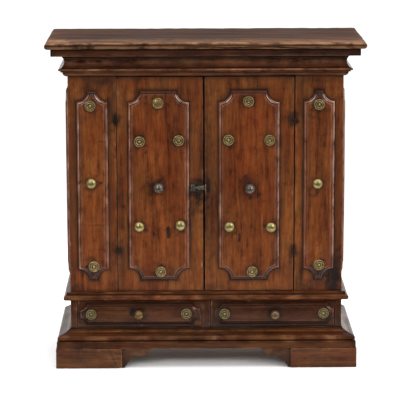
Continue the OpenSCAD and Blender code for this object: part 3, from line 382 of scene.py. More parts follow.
def put(name, points, faces, body, material, slot, marks, fibre, seed=0, smooth=32, node=None):
    """Makes a piece from points in millimetres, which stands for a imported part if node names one. marks
    holds wear, dirt and stain for each point. The place in the wood is the point itself, turned so that
    the fibre axis comes last and moved by an amount of the piece's own, so that no two boards show the
    same figure."""
    mesh = bpy.data.meshes.new(name)
    mesh.from_pydata((points * 0.001).tolist(), [], faces)
    mesh.polygons.foreach_set("use_smooth", np.ones(len(faces), bool))
    mesh.set_sharp_from_angle(angle=np.radians(smooth))
    colours = np.ones((len(points), 4))
    colours[:, :3] = np.clip(marks, 0, 1)
    mesh.attributes.new("marks", "FLOAT_COLOR", "POINT").data.foreach_set("color", colours.ravel())
    order = {"X": [1, 2, 0], "Y": [2, 0, 1], "Z": [0, 1, 2]}[fibre]
    along = points[:, order] * 0.001 + np.random.default_rng(seed).uniform(-3, 3, 3)
    mesh.attributes.new("grain", "FLOAT_VECTOR", "POINT").data.foreach_set("vector", along.ravel())
    mesh.materials.append(material)
    piece = bpy.data.objects.new(name, mesh)
    scene.collection.objects.link(piece)
    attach(piece, body)
    if node:
        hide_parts(node)


def bounds_of(node):
    """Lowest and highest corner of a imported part, in millimetres."""
    low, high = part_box(node)
    return np.array(low) * 1000, np.array(high) * 1000


def key_of(points):
    """Places as whole hundredths of a millimetre."""
    return np.round(points * 100).astype(np.int64)


def sown(points, faces):
    """Joins points that have the same key."""
    _, first, index = np.unique(key_of(points), axis=0, return_index=True, return_inverse=True)
    return points[first], index.ravel()[faces], first


def quads_of(at, closed=False, over=False):
    """Quads between neighbours on a grid of point numbers, closed along its rows or not, and turned over
    or not."""
    if closed:
        at = np.column_stack([at, at[:, 0]])
    corners = [at[:-1, :-1], at[1:, :-1], at[1:, 1:], at[:-1, 1:]]
    if over:
        corners[1], corners[3] = corners[3], corners[1]
    return np.stack(corners, -1).reshape(-1, 4)


def board(low, high, arris, pitch, seed, worn=1.0, chips=10):
    """A sawn and planed board as a rounded box. Each point of the plain box is drawn to the distance
    arris from the nearest point of the box that is smaller by arris all round, so the arrises become
    quarter rounds. Soft hollows and small chips along the arrises follow. Returns points, faces, marks
    and the flat places that the points came from."""
    low, high = np.array(low, float), np.array(high, float)
    ends = arris * np.array([0, 0.423, 0.732, 1.0, 1.9, 3.6])
    lines = []
    for axis in range(3):
        length = high[axis] - low[axis]
        near = ends[ends < length * 0.45]
        count = max(int((length - 2 * near[-1]) / pitch[axis]), 1)
        middle = np.linspace(low[axis] + near[-1], high[axis] - near[-1], count + 1)
        lines.append(np.concatenate([low[axis] + near[:-1], middle, high[axis] - near[-2::-1]]))
    places, faces, base = [], [], 0
    for axis in range(3):
        one, two = (axis + 1) % 3, (axis + 2) % 3
        for end in (0, 1):
            grid = np.zeros((len(lines[one]), len(lines[two]), 3))
            grid[..., axis] = (low, high)[end][axis]
            grid[..., one] = lines[one][:, None]
            grid[..., two] = lines[two][None, :]
            at = base + np.arange(grid.shape[0] * grid.shape[1]).reshape(grid.shape[:2])
            faces.append(quads_of(at) if end else quads_of(at)[:, ::-1])
            places.append(grid.reshape(-1, 3))
            base += at.size
    flat, faces, _ = sown(np.concatenate(places), np.concatenate(faces))
    radius = (arris * (1 + 0.45 * ripple(flat, 45, seed)))[:, None].clip(0.35 * arris, 1.6 * arris)
    inner = np.clip(
        flat, np.minimum(low + radius, (low + high) / 2), np.maximum(high - radius, (low + high) / 2),
    )
    out = flat - inner
    out /= np.linalg.norm(out, axis=1)[:, None]
    points = inner + out * radius
    to_side = np.sort(np.minimum(flat - low, high - flat), axis=1)[:, 1]
    wear = worn * bell(to_side, 1.1 * arris + 0.6) * (0.75 + 0.5 * ripple(flat, 70, seed + 1))
    points += out * (0.22 * ripple(flat, 130, seed + 2) + 0.06 * ripple(flat, 17, seed + 3))[:, None]
    random = np.random.default_rng(seed + 4)
    corners = flat[to_side < 0.1]
    for chip in corners[random.integers(0, len(corners), chips)]:
        size = random.uniform(1.5, 4.5)
        near = np.exp(-((flat - chip) ** 2).sum(1) / (2 * size**2))
        points -= out * (near * random.uniform(0.4, 1.3))[:, None]
        wear += 0.4 * near
    return points, faces, marks_of(wear, 0.0), flat


def lay_board(
    name, node, body, material, slot, fibre, seed, arris=1.2, pitch=(9, 9, 9), box=None, marked=None,
    cut=None, **more,
):
    """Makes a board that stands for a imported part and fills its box, with marks and a cut of its own if
    given."""
    low, high = bounds_of(node) if box is None else box
    points, faces, marks, flat = board(low, high, arris, pitch, seed, **more)
    points = points.clip(low, high)
    if cut:
        points = cut(points, flat)
    if marked:
        marks = marked(flat, marks)
    put(name, points, faces.tolist(), body, material, slot, marks, fibre, seed, node=node)


# Case boards
# Two walnut side boards and two stiles make the corners, with rails between. The stiles are darker just
# above the waist moulding, painted shade darkens them under the cornice, and painted shade with old wax
# and dust lies round the applied panels.
Y_FRONT = -140.0
HALF_WIDTH = 407.0
SIDE_FRONT = -118.0
SIDE_FOOT_TOP = 212.0
WAIST_TOP = 226
CORNICE_LOW = 877
MID_PANEL = 548.5
STILE_X = 336
SIDE_PANEL_Y = 31.0
PANEL_T = 10
DRAWER_PANEL_T = 9
# Width, height and radius of the scooped corners of each applied panel
STILE_PANEL = (90, 571, 33)
SIDE_PANEL = (250, 571, 33)
DOOR_PANEL = (179, 571, 36)
DRAWER_PANEL = (360, 66, 19)


def to_outline(across, up, width, height, scoop):
    """Signed distance to the outline of a panel with scooped corners: the larger of the distance to the
    rectangle and the depth inside the nearest corner circle. Negative inside."""
    over = np.stack([np.abs(across) - width / 2, np.abs(up) - height / 2], -1)
    rectangle = np.linalg.norm(over.clip(0), axis=-1) + over.max(-1).clip(None, 0)
    corner = np.hypot(width / 2 - np.abs(across), height / 2 - np.abs(up))
    return np.maximum(rectangle, scoop - corner)


def shade_and_wax_round_panel(flat, marks, middle, width, height, scoop, depth=0.8, reach=6.0):
    """Adds a band of painted shade, with old wax and dust, that lies on a board round an applied panel."""
    away = to_outline(flat[:, 0] - middle[0], flat[:, 2] - middle[1], width, height, scoop)
    shown = flat[:, 1] < Y_FRONT + 6
    marks[:, 1] += shown * depth * np.exp(-((away.clip(0) / reach) ** 1.5))
    marks[:, 1] += shown * 0.3 * fade(away.clip(0), 26) * (0.5 + 0.5 * ripple(flat, 60, 91))
    return marks


def stain_and_shadow_at(flat, marks, spots):
    """Adds dark spots to the third mark, for stains and for painted shadow rings round the fittings: each
    spot is x, z, half width, half height and strength, with a soft edge that wanders."""
    wander = 1 + 0.28 * ripple(flat, 14, 57) + 0.2 * ripple(flat, 40, 58)
    shown = flat[:, 1] < Y_FRONT + 6
    for x, z, wide, high, strength in spots:
        off = np.hypot((flat[:, 0] - x) / wide, (flat[:, 2] - z) / high) * wander
        marks[:, 2] += shown * strength * np.exp(-(off**2.4))
    return marks


STILE_SPOTS = (
    (-270, 749, 10, 20, 0.95), (-269, 352, 9, 22, 0.8), (266, 748, 7, 18, 0.8), (267, 352, 8, 22, 0.7),
    (374, 262, 20, 62, 0.9), (379, 270, 16, 36, 1.3), (330, 250, 26, 20, 0.4), (395, 300, 8, 70, 0.5),
    (-396, 560, 15, 290, 0.5), (397, 440, 13, 170, 0.3), (292, 500, 12, 250, 0.2),
    (-276, 790, 16, 70, 0.45), (274, 790, 14, 60, 0.3), (-336, 850, 60, 26, 0.3), (-281, 560, 9, 270, 0.25),
    (-300, 860, 40, 9, 0.35), (320, 862, 60, 8, 0.35), (-380, 240, 24, 12, 0.4), (300, 236, 30, 9, 0.4),
)


def stile_marks(flat, marks):
    """Darker just over the waist moulding, painted shade under the cornice, painted shade with old wax and
    dust round the stile's panel, and the stains.
    """
    low = 0.6 * fade((flat[:, 2] - WAIST_TOP).clip(0), 7)
    # Painted shade under the cornice.
    high = 0.8 * fade((CORNICE_LOW - flat[:, 2]).clip(0), 9)
    marks[:, 1] += low + high
    marks = shade_and_wax_round_panel(flat, marks, (STILE_X * np.sign(flat[0, 0]), MID_PANEL), *STILE_PANEL)
    return stain_and_shadow_at(flat, marks, STILE_SPOTS)


BACK_LOW, BACK_HIGH = bounds_of("back_boards")


def rebated(points, flat):
    """Cuts the rebate for the back boards into a side board. The two rows of points nearest to the front
    of the back boards close up into a step, and behind it the board is drawn in evenly to the wall of
    the rebate."""
    rows = np.unique(flat[:, 1])
    step = np.searchsorted(rows, BACK_LOW[1])
    points, side = points.copy(), np.sign(flat[0, 0])
    points[flat[:, 1] == rows[step - 1], 1] = BACK_LOW[1] - 0.2
    points[flat[:, 1] == rows[step], 1] = BACK_LOW[1] - 0.1
    outer, inner = np.abs(flat[:, 0]).max(), np.abs(flat[:, 0]).min()
    wall = BACK_HIGH[0] + 0.2
    drawn_in = outer - (outer - np.abs(points[:, 0])) * (outer - wall) / (outer - inner)
    points[:, 0] = np.where(flat[:, 1] >= rows[step], side * drawn_in, points[:, 0])
    return points


for seed, side in ((11, "left"), (16, "right")):
    lay_board(
        f"{side}_stile_board", f"{side}_stile", "case", walnut, "walnut", "Z", seed, 1.1, (4, 8, 4),
        marked=stile_marks, worn=0.3,
    )
    low, high = bounds_of(f"{side}_side_board")
    lay_board(
        f"{side}_side_wood", f"{side}_side_board", "case", walnut, "walnut", "Z", seed + 10, 1.2,
        (10, 6, 7), (np.array([low[0], SIDE_FRONT, SIDE_FOOT_TOP]), high), cut=rebated,
    )
    lay_board(
        f"{side}_side_foot_wood", None, "case", drawer_walnut, "walnut_base", "Z", seed + 12, 1.2,
        (10, 6, 7), (low, np.array([high[0], high[1], SIDE_FOOT_TOP])), worn=0.1, cut=rebated,
    )
lay_board("top_rail_wood", "top_rail", "case", walnut, "walnut", "X", 23, 1.0, (8, 8, 6))
lay_board("waist_rail_wood", "waist_rail", "case", walnut, "walnut", "X", 24, 1.0, (8, 8, 5))
lay_board(
    "partition_wood", "drawer_partition", "case", drawer_walnut, "walnut_base", "Z", 25, 1.0, (6, 12, 6),
    worn=0.1,
)

# Mouldings
# Lengths of walnut moulding planed by hand and mitred at the front corners: the square fillet and the
# cornice under the top, the waist moulding over the drawers and the base over the feet.
Y_BACK = 202.0


def arc(middle, radius, start, stop, count):
    """Points on a circle from one angle to another, in degrees."""
    turn = np.radians(np.linspace(start, stop, count))
    return spread(middle[0] + radius * np.cos(turn), middle[1] + radius * np.sin(turn))


def evenly(line, pitch=1.0, more=0, count=None):
    """A line of points divided evenly by length, in count points or in one for each pitch and more."""
    run = np.concatenate([[0], np.cumsum(np.linalg.norm(np.diff(line, axis=0), axis=1))])
    even = np.linspace(0, run[-1], count or int(run[-1] / pitch) + more)
    return np.stack([np.interp(even, run, line[:, k]) for k in (0, 1)], 1)


def normals_of(ways):
    """Unit normals on the right of the directions given."""
    ways = ways / np.linalg.norm(ways, axis=1)[:, None]
    return spread(ways[:, 1], -ways[:, 0])


def section(keys, pitch=0.9, ease=1, reach=4.0):
    """A moulding's outline: the key points joined by straight lines, divided evenly by length and
    rounded by averaging each point with its neighbours. Also its outward normals, and how far each
    place stands hollow (+) or proud (-) of the average of the outline for reach mm to each side."""
    keys = np.concatenate([np.atleast_2d(k) for k in keys]).astype(float)
    line = evenly(keys, pitch, 1)
    for _ in range(ease):
        line[1:-1] = 0.25 * line[:-2] + 0.5 * line[1:-1] + 0.25 * line[2:]
    normals = normals_of(np.gradient(line, axis=0))
    width = max(int(reach / pitch), 1)
    padded = np.concatenate(
        [2 * line[0] - line[width:0:-1], line, 2 * line[-1] - line[-2 : -width - 2 : -1]]
    )
    kernel = np.ones(2 * width + 1) / (2 * width + 1)
    average = np.stack([np.convolve(padded[:, k], kernel, "valid") for k in (0, 1)], 1)
    hollow = ((average - line) * normals).sum(1)
    return line, normals, hollow


def sweep_faces(rings, steps, flip=False):
    """Faces of a closed strip: quads between neighbours on a grid that closes along the outline, and one
    flat face on each end."""
    at = np.arange(rings * steps).reshape(steps, rings)
    quads = quads_of(at, True)
    ends = [at[0].tolist(), at[-1][::-1].tolist()]
    if flip:
        return quads[:, ::-1].tolist() + [end[::-1] for end in ends]
    return quads.tolist() + ends


def moulding(name, stem, keys, seed, material, slot="walnut", pitch=5.0, dust=0.0, grime=0.25, lines=()):
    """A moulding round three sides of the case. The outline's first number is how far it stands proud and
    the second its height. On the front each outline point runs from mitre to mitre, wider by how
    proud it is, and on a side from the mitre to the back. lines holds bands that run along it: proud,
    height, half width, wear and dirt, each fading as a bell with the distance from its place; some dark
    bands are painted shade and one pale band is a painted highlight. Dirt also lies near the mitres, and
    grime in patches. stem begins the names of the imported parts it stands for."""
    line, normals, hollow = section(keys)
    bands = np.zeros((len(line), 2))
    for proud, up, half, *amounts in lines:
        bands += np.exp(-(((line - [proud, up]) ** 2).sum(1) / half**2))[:, None] * amounts
    for side in (0, -1, 1):
        length = 2 * (HALF_WIDTH + 40) if side == 0 else 385
        steps = int(length / pitch)
        share = np.linspace(0, 1, steps + 1)[:, None]
        proud, up = line.T
        if side == 0:
            points = spread((2 * share - 1) * (HALF_WIDTH + proud), Y_FRONT - proud, up)
            out = spread(0 * share, -normals[:, 0], normals[:, 1])
        else:
            run = Y_FRONT - proud + share * (Y_BACK - Y_FRONT + proud)
            points = spread(side * (HALF_WIDTH + proud), run, up)
            out = spread(side * normals[:, 0], 0 * share, normals[:, 1])
        shape = points.shape[:2]
        points, out = points.reshape(-1, 3), out.reshape(-1, 3)
        all_along = np.tile(np.stack([hollow, *bands.T, line[:, 0]]), steps + 1)
        high, band_wear, band_dirt, stands = all_along
        wear = 0.4 * (-high / 0.5).clip(0, 1) * (0.5 + 0.7 * ripple(points, 60, seed))
        dirt = (high / 0.5).clip(0, 1) * (0.75 + 0.3 * ripple(points, 50, seed + 1))
        dirt += dust * (out[:, 2].clip(0, 1)) * (0.7 + 0.4 * ripple(points, 35, seed + 5))
        waver = 0.85 + 0.3 * ripple(points * [1, 1, 0.1], 70, seed + 6)
        wear += waver * band_wear
        dirt += waver * band_dirt
        from_mitre = (
            HALF_WIDTH + stands - np.abs(points[:, 0]) if side == 0 else points[:, 1] - Y_FRONT + stands
        )
        dirt += 0.4 * bell(from_mitre, 11)
        dirt += grime * ripple(points * [1, 1, 0.3], 75, seed + 7).clip(0, 1)
        dents = ripple(points, 22, seed + 2).clip(0.55, None) - 0.55
        push = 0.22 * ripple(points, 140, seed + 3) + 0.05 * ripple(points, 11, seed + 4)
        push -= (-high / 0.35).clip(0, 1) * (0.15 + 0.9 * dents)
        points = points + out * (push * (stands > 0.2))[:, None]
        label, node = {
            0: ("front", f"{stem}_front"), -1: ("left", f"{stem}_sides"), 1: ("right", None),
        }[side]
        put(
            f"{name}_wood_{label}", points, sweep_faces(shape[1], shape[0], side == -1), "case", material,
            slot, marks_of(wear, dirt), "Y" if side else "X", seed + 10 * side, node=node,
        )


# Its dark bands at the top of the fillet and on its underside are painted shade under the top board and
# under the fillet.
moulding(
    "cornice_fillet", "cornice_fillet",
    [(0, 940), (43.5, 940), (45.4, 940.8), (46, 942.5), (46, 962), (0, 962)], 31, dark_walnut,
    lines=((46, 961, 2.6, 0, 0.8), (44, 940, 3, 0, 0.5), (46, 945, 3, 0.12, 0)),
)
# Its dark bands at the top of the scotia and at the foot of the cornice are painted shade, and its pale band
# deep in the scotia is a painted highlight.
moulding(
    "cornice", "cornice_moulding",
    [
        (0, 877), arc((0, 890.5), 13.5, -88, -1, 12), (13.5, 890.5), (19, 890.5), (19, 895), (21.5, 895),
        arc((22, 898.5), 3.5, -88, 88, 12), (21.4, 902), arc((30, 921), 21.95, 239, 121, 20), (19, 940),
        (0, 940),
    ],
    34, cornice_walnut, dust=0.2,
    lines=(
        (20, 938, 5, 0, 0.5), (18, 903, 2.4, 0, 0.4), (8.5, 921, 8, 0.35, 0), (0, 878, 4, 0, 0.9),
        (12, 893, 2, 0, 0.4), (25, 899, 3, 0.35, 0),
    ),
)
# Its dark band under the torus is painted shade.
moulding(
    "waist", "waist_moulding",
    [
        (0, 200), (4, 200), (10, 202), arc((12, 210), 8, -90, 90, 16), (11.2, 218), (11, 219), (11, 225),
        (10.4, 226), (0, 226),
    ],
    37, waist_walnut, dust=0.2,
    lines=((11.3, 224.6, 2.2, 0, 0.7), (11.8, 218, 2.2, 0, 0.55), (14, 201, 4, 0, 0.35)),
)
# Its dark bands against the drawers and under the torus are painted shade.
moulding(
    "base", "base_moulding",
    [
        (0, 59), (40.4, 59), (41, 59.6), (41, 80), (40.2, 81), (31, 81), (31, 82),
        arc((31, 90), 8, -90, 90, 16), (31, 98), (31, 98.5), (25, 100.2), (18, 103.2), (11, 107.3),
        (3, 113), (3, 116), (0, 116),
    ],
    40, base_walnut, "walnut_base", dust=0.1,
    lines=(
        (0.5, 115.5, 5, 0, 0.9), (12.5, 106.5, 2.2, 0.3, 0), (20, 102.2, 1.6, 0, 0.6), (31, 82, 3, 0, 0.45),
        (41, 79.5, 4, 0, 0.4), (41, 68, 10, 0, 0.15),
    ),
)

# Top board
# One wide walnut board with a worn nosing on three sides. Its face is grey with dust and dry wax, paler
# where hands and cloths have rubbed the front edge, and a shake runs along the front edge.
TOP_MIDDLE = 972
RUBBED_UP, SHAKE_UP, SEAM_UP = 968, 969.5, 974.8
SHAKE_FROM, SHAKE_TO = -60, 330
WORN_X, WORN_Y = -430, -150


def top_board():
    """The board with its nosing, paler towards the front edge, with a worn patch on the left corner. Its
    front edge wavers up and down, and a shake wanders along the face and opens to the right."""
    low, high = bounds_of("top_board")
    points, faces, marks, flat = board(low, high, 6.5, (7, 7, 1.2), 51, 0.7, 24)
    x, y, z = flat.T
    front, side = y - low[1], np.minimum(x - low[0], high[0] - x)
    upper, on_face = z > high[2] - 7, front < 0.5
    band = bell(front, 9) * upper
    along = flat * [1, 0, 0]
    marks[:, 0] = (
        0.25 * marks[:, 0] + 0.22 * band * (0.7 + 0.5 * ripple(flat, 90, 52)) + 0.2 * fade(side, 22) * upper
    )
    marks[:, 0] += 0.6 * bell(front, 95) * (z > high[2] - 1) * (0.9 + 0.1 * ripple(flat, 80, 56))
    marks[:, 0] += 0.55 * on_face * np.exp(-(((z - RUBBED_UP) / 5.5) ** 4))
    patch = np.hypot((x - WORN_X) / 34, (y - WORN_Y) / 42)
    marks[:, 0] += 0.8 * np.exp(-(patch**3)) * upper
    marks[:, 1] += 0.3 * (0.5 + 0.5 * ripple(flat * [0.25, 1, 1], 40, 53)) * (1 - band) * upper
    sag = 1.2 * np.cos(x / 150 + 0.8) + 0.7 * ripple(along, 210, 54)
    points[:, 2] += (sag - 1.2) * (front < 60) * fade(front, 30) * (z > low[2] + 1)
    shake = SHAKE_UP + 3.2 * ripple(along, 160, 55)
    open_part = 1 / (1 + np.exp(-(x - SHAKE_FROM) / 25)) / (1 + np.exp((x - SHAKE_TO) / 25))
    cut_in = bell(z - shake, 1.6) * open_part * on_face
    points[:, 1] += 2.2 * cut_in
    marks[:, 1] += 1.2 * cut_in
    seam = SEAM_UP + 0.5 * ripple(along, 90, 57)
    marks[:, 1] += 0.75 * on_face * bell(z - seam, 1.5)
    # Painted shade on the board's underside and its lower edge.
    marks[:, 1] += 0.6 * (z < low[2] + 2.2)
    at_end = (np.minimum(points[:, 0] - low[0], high[0] - points[:, 0]) / 10).clip(0, 1)
    points[:, 2] = TOP_MIDDLE + (points[:, 2] - TOP_MIDDLE) * np.sqrt(1 - 0.8 * (1 - at_end) ** 2)
    points = points.clip(low, high)
    put("top_wood", points, faces.tolist(), "case", top_walnut, "walnut", marks, "X", 51, node="top_board")


top_board()

# Applied panels
# Thin walnut boards with scooped corners and a moulded edge, nailed to the doors, stiles, sides and
# drawers. The edge is a small step, a quarter round and a sunk quirk, and then the flat field.
RIM = [
    (0, 0), (0, 1.6), (1.3, 3.0), (1.7, 3.1), (1.7, 3.5), arc((6.6, 3.1), 4.9, 172, 96, 12), (6.1, 7.7),
    (6.5, 7.45), (7.9, 7.45), (8.5, 7.8), (8.6, 9.0), (9.1, 9.75), (10.4, 10),
]


def scooped_ring(width, height, scoop, inset, rows, corner_rows=12):
    """One ring of a scooped outline drawn in by inset. The corner circles grow by inset and the straight
    sides move in by it, and both are cut where they meet. Returns the half width and the height of each
    row from bottom to top."""
    radius = scoop + inset
    start = np.arcsin(inset / radius)
    turn = np.linspace(start, np.pi / 2 - start, corner_rows)
    corner_x, corner_z = width / 2 - radius * np.cos(turn), -height / 2 + radius * np.sin(turn)
    straight = np.linspace(corner_z[-1], -corner_z[-1], rows)[1:-1]
    half = np.concatenate([corner_x, np.full(len(straight), width / 2 - inset), corner_x[::-1]])
    return half, np.concatenate([corner_z, straight, -corner_z[::-1]])


def panel_shape(width, height, scoop, thick, rows, columns, seed, top_darkening, rim_highlights):
    """An applied panel lying flat: the rim's outline is carried round the scooped edge, and the field is
    a grid whose rows run between the two edges. Painted highlights pale the rim on its outer arris at the
    right, on its round at the left and most in the upper scoops, less towards the floor. The rim is
    darker along its top, painted shade darkens it along the bottom, and the lower scoops are darker.
    Returns points (across, up, out), faces and marks."""
    line, _, hollow = section([np.atleast_2d(keys) * [1, thick / 10] for keys in RIM], 0.75)
    hollow = -hollow
    rings = []
    for inset in line[:, 0]:
        half, up = scooped_ring(width, height, scoop, max(inset, 0), rows)
        share = np.linspace(-1, 1, columns + 1)
        bottom = np.stack([share[:-1] * half[0], np.full(columns, up[0])], 1)
        right = np.stack([half[:-1], up[:-1]], 1)
        rings.append(np.concatenate([bottom, right, -bottom, -right]))
    rings = np.array(rings)
    count = rings.shape[1]
    across, up = rings[..., 0], rings[..., 1]
    into, rise = line.T
    out = np.broadcast_to(rise[:, None], across.shape)
    rim = np.concatenate([rings, out[..., None]], -1)
    high = np.broadcast_to(hollow[:, None], out.shape)
    top_rim = up > height / 2 - into[-1] - 2
    bottom_rim = up < into[-1] + 2 - height / 2
    arris = ((rise > 1) & (into < 1.75))[:, None]
    round_top = bell(into - 4.2, 1.3)[:, None]
    to_right = across > 0
    # Painted highlights on the rim: rubbed sets them by side, and they grow upwards and in the upper scoops.
    highlight_rise = 0.3 + 0.7 * (up / height + 0.5).clip(0, 1)
    scoops = (np.abs(up) > height / 2 - scoop) & ~top_rim & ~bottom_rim
    upper = scoops & (up > 0)
    noise = ripple(rim.reshape(-1, 3), 55, seed).reshape(out.shape)
    wear = 0.25 * (-high / 0.35).clip(0, 1) * (0.6 + 0.5 * noise)
    rubbed = rim_highlights[1] * to_right * arris + rim_highlights[0] * ~to_right * (0.25 * arris + 0.6 * round_top)
    wear += highlight_rise * (0.85 + 0.25 * noise) * rubbed
    scoop_highlight = 0.5 * bell(into - 0.8, 0.7) + 1.5 * bell(into - 4.6, 1.5)
    wear = np.where(upper, 0.35 * wear + scoop_highlight[:, None], wear) * ~(top_rim | bottom_rim)
    trough = bell(into - 2.4, 0.8) + bell(into - 7.3, 1.1)
    dirt = (high / 0.35).clip(0, 1.2) * (0.5 - 0.2 * noise) + 0.5 * (scoops & ~upper) * ~arris
    dirt += 0.7 * scoops * trough[:, None]
    # The rim is darker along its top, and painted shade darkens it along the bottom.
    dirt += (top_darkening * top_rim + 0.5 * bottom_rim) * (rise < thick * 0.95)[:, None]
    half, up = scooped_ring(width, height, scoop, into[-1], rows)
    field = spread(half[:, None] * np.linspace(-1, 1, columns + 1), up[:, None], rise[-1])
    ring_at = np.arange(rim.shape[0] * count).reshape(-1, count)
    field_at = ring_at.size + np.arange(field.shape[0] * field.shape[1]).reshape(field.shape[:2])
    faces = np.concatenate([quads_of(ring_at, True, True), quads_of(field_at, False, True)])
    points = np.concatenate([rim.reshape(-1, 3), field.reshape(-1, 3)])
    marks = np.zeros((len(points), 3))
    marks[: ring_at.size, 0], marks[: ring_at.size, 1] = wear.ravel(), dirt.ravel()
    in_field = slice(ring_at.size, None)
    inner = -to_outline(*points[in_field, :2].T, width, height, scoop) - into[-1]
    # A thin pale line along the field's edge, partly wear and partly painted highlight.
    marks[in_field, 0] = 0.35 * fade(inner.clip(0), 1.2)
    marks[in_field, 1] = 0.25 * fade(inner.clip(0), 12)
    points, faces, first = sown(points, faces)
    marks = marks[first]
    lookup = {tuple(key): n for n, key in enumerate(key_of(points).tolist())}
    foot = np.column_stack([rings[0], np.full(count, line[0, 1])])
    back = [lookup[tuple(key)] for key in key_of(foot).tolist()]
    return points, faces.tolist() + [back[::-1]], marks


def place_on(points, middle, side="front"):
    """Stands a flat shape on the front or on a side of the case: across, up and out become the frame's
    own axes."""
    across, up, out = points.T
    if side == "front":
        return spread(middle[0] + across, Y_FRONT - out, middle[1] + up)
    way = 1 if side == "right" else -1
    return spread(way * (HALF_WIDTH + out), middle[0] + way * across, middle[1] + up)


def applied_panel(
    name, middle, size, thick, body, seed, rows=90, columns=32, side="front", spots=(), fibre="Z",
    material=panel_walnut, slot="walnut_panel", top_darkening=0.55, rim_highlights=(1.0, 1.0), node=None,
):
    """An applied panel in its place, its field a little uneven, with its stains and painted shadow rings.
    size is its width, its height and the radius of its scooped corners."""
    points, faces, marks = panel_shape(*size, thick, rows, columns, seed, top_darkening, rim_highlights)
    points[:, 2] += (points[:, 2] > thick * 0.9) * 0.2 * ripple(points, 110, seed + 1)
    placed = place_on(points, middle, side)
    if spots:
        marks = stain_and_shadow_at(placed, marks, spots)
    put(name, placed, faces, body, material, slot, marks, fibre, seed, node=node)


PANEL_CRACKS = (
    (-311, 684, 13, 1.6, 0.8), (-324, 432, 24, 1.5, 0.8), (-318, 358, 15, 1.5, 0.7), (-303, 352, 3, 3, 0.7),
    (-370, 700, 3, 60, 0.35), (-308, 500, 2, 40, 0.4), (330, 640, 2.5, 50, 0.5), (352, 420, 2, 60, 0.45),
    (-341, 826, 15, 16, 0.5), (335, 826, 15, 16, 0.5), (300, 560, 13, 250, 0.2), (-336, 270, 40, 24, 0.65),
    (336, 268, 40, 24, 0.6),
)
for seed, side, x in ((61, "left", -STILE_X), (162, "right", STILE_X)):
    first = side == "left"
    # Painted shadow rings round the stile's brass.
    brass_shadow_rings = tuple((x + a, MID_PANEL + b, 20, 22, 0.95) for a, b in ((-4, 240), (-1, -246), (-2, 5)))
    applied_panel(
        f"{side}_stile_panel", (x, MID_PANEL), STILE_PANEL, PANEL_T, "case", seed, 300, 44,
        spots=brass_shadow_rings + PANEL_CRACKS,
        # Strength of the painted highlights on the rim's left and right sides.
        rim_highlights=(1.0, 0.9) if first else (0.35, 2.0), node="stile_panels" if first else None,
    )
    applied_panel(
        f"{side}_side_panel", (SIDE_PANEL_Y, MID_PANEL), SIDE_PANEL, PANEL_T, "case", seed + 2, 90, 40,
        side, node="side_panels" if first else None,
    )

# Doors
# Each door is one board with its own applied panel. The wood is blackened round the hinges and the
# latch, painted shadow rings lie round the knobs and the brass, and the left door has a dark knot low
# on its panel.
DOOR_PANEL_X = {"left": -140.0, "right": 128.0}
NAIL_PLACES = {
    "left": ((-214, 771), (-65.5, 774), (-66, 650), (-214, 625), (-63, 468), (-64, 322), (-209, 322)),
    "right": ((52, 772), (204, 770), (203, 618), (54, 470), (52, 328), (204, 322)),
}
DOOR_SPOTS = {
    "left": (
        (-257, 748, 7, 20, 0.8), (-256, 352, 9, 24, 0.85), (-30, 543, 27, 24, 0.95),
        (-27, 500, 17, 36, 0.5), (-14, 600, 6, 90, 0.35), (-250, 300, 14, 60, 0.25),
        (-247, 487, 10, 7, 0.6), (-240, 474, 5, 16, 0.4), (-28, 560, 21, 190, 0.3),
        (-248, 800, 10, 60, 0.25),
    ),
    "right": (
        (254, 749, 13, 24, 0.95), (256, 352, 10, 26, 0.85), (6, 545, 7, 30, 0.75), (4, 700, 5, 160, 0.3),
        (250, 300, 14, 60, 0.3), (20, 240, 30, 10, 0.4), (10, 470, 13, 160, 0.2), (13, 600, 17, 280, 0.42),
        (236, 552, 4, 4, 0.9),
    ),
}
# The spots at each knob are a painted shadow round it.
PANEL_SPOTS = {
    "left": (
        (-112, 407, 7, 13.5, 1.5), (-156, 400, 2.4, 12, 0.9), (-180, 372, 4, 9, 0.7),
        (-142, 547, 25, 26, 1.1), (-196, 560, 22, 240, 0.12), (-140, 276, 80, 20, 0.35),
    ),
    "right": (
        (100, 392, 2.4, 14, 0.8), (129, 544, 25, 26, 1.1), (172, 430, 2, 30, 0.5), (52, 560, 14, 240, 0.15),
        (128, 276, 80, 18, 0.3),
    ),
}
RINGS = {
    "left": ((-1.5, 249.5), (-56.5, 134.5), (59.5, 137.5), (4.5, -259.5)),
    "right": ((-2, 253.5), (-61, 138.5), (61, 137.5), (10, -260.5)),
}
DOMES = {"left": ((-58.5, -122.5), (64, -118.5)), "right": ((-58, -123.5), (66, -125.5))}
KNOBS = {"left": (0, -1), "right": (2, -4.5)}


def shadow_rings(x0, places, strength=1.05, size=20.5):
    """Painted shadow rings round the fittings, given as dark spots like the stains."""
    return tuple((x0 + x, MID_PANEL + z, size, size + 0.5, strength) for x, z in places)


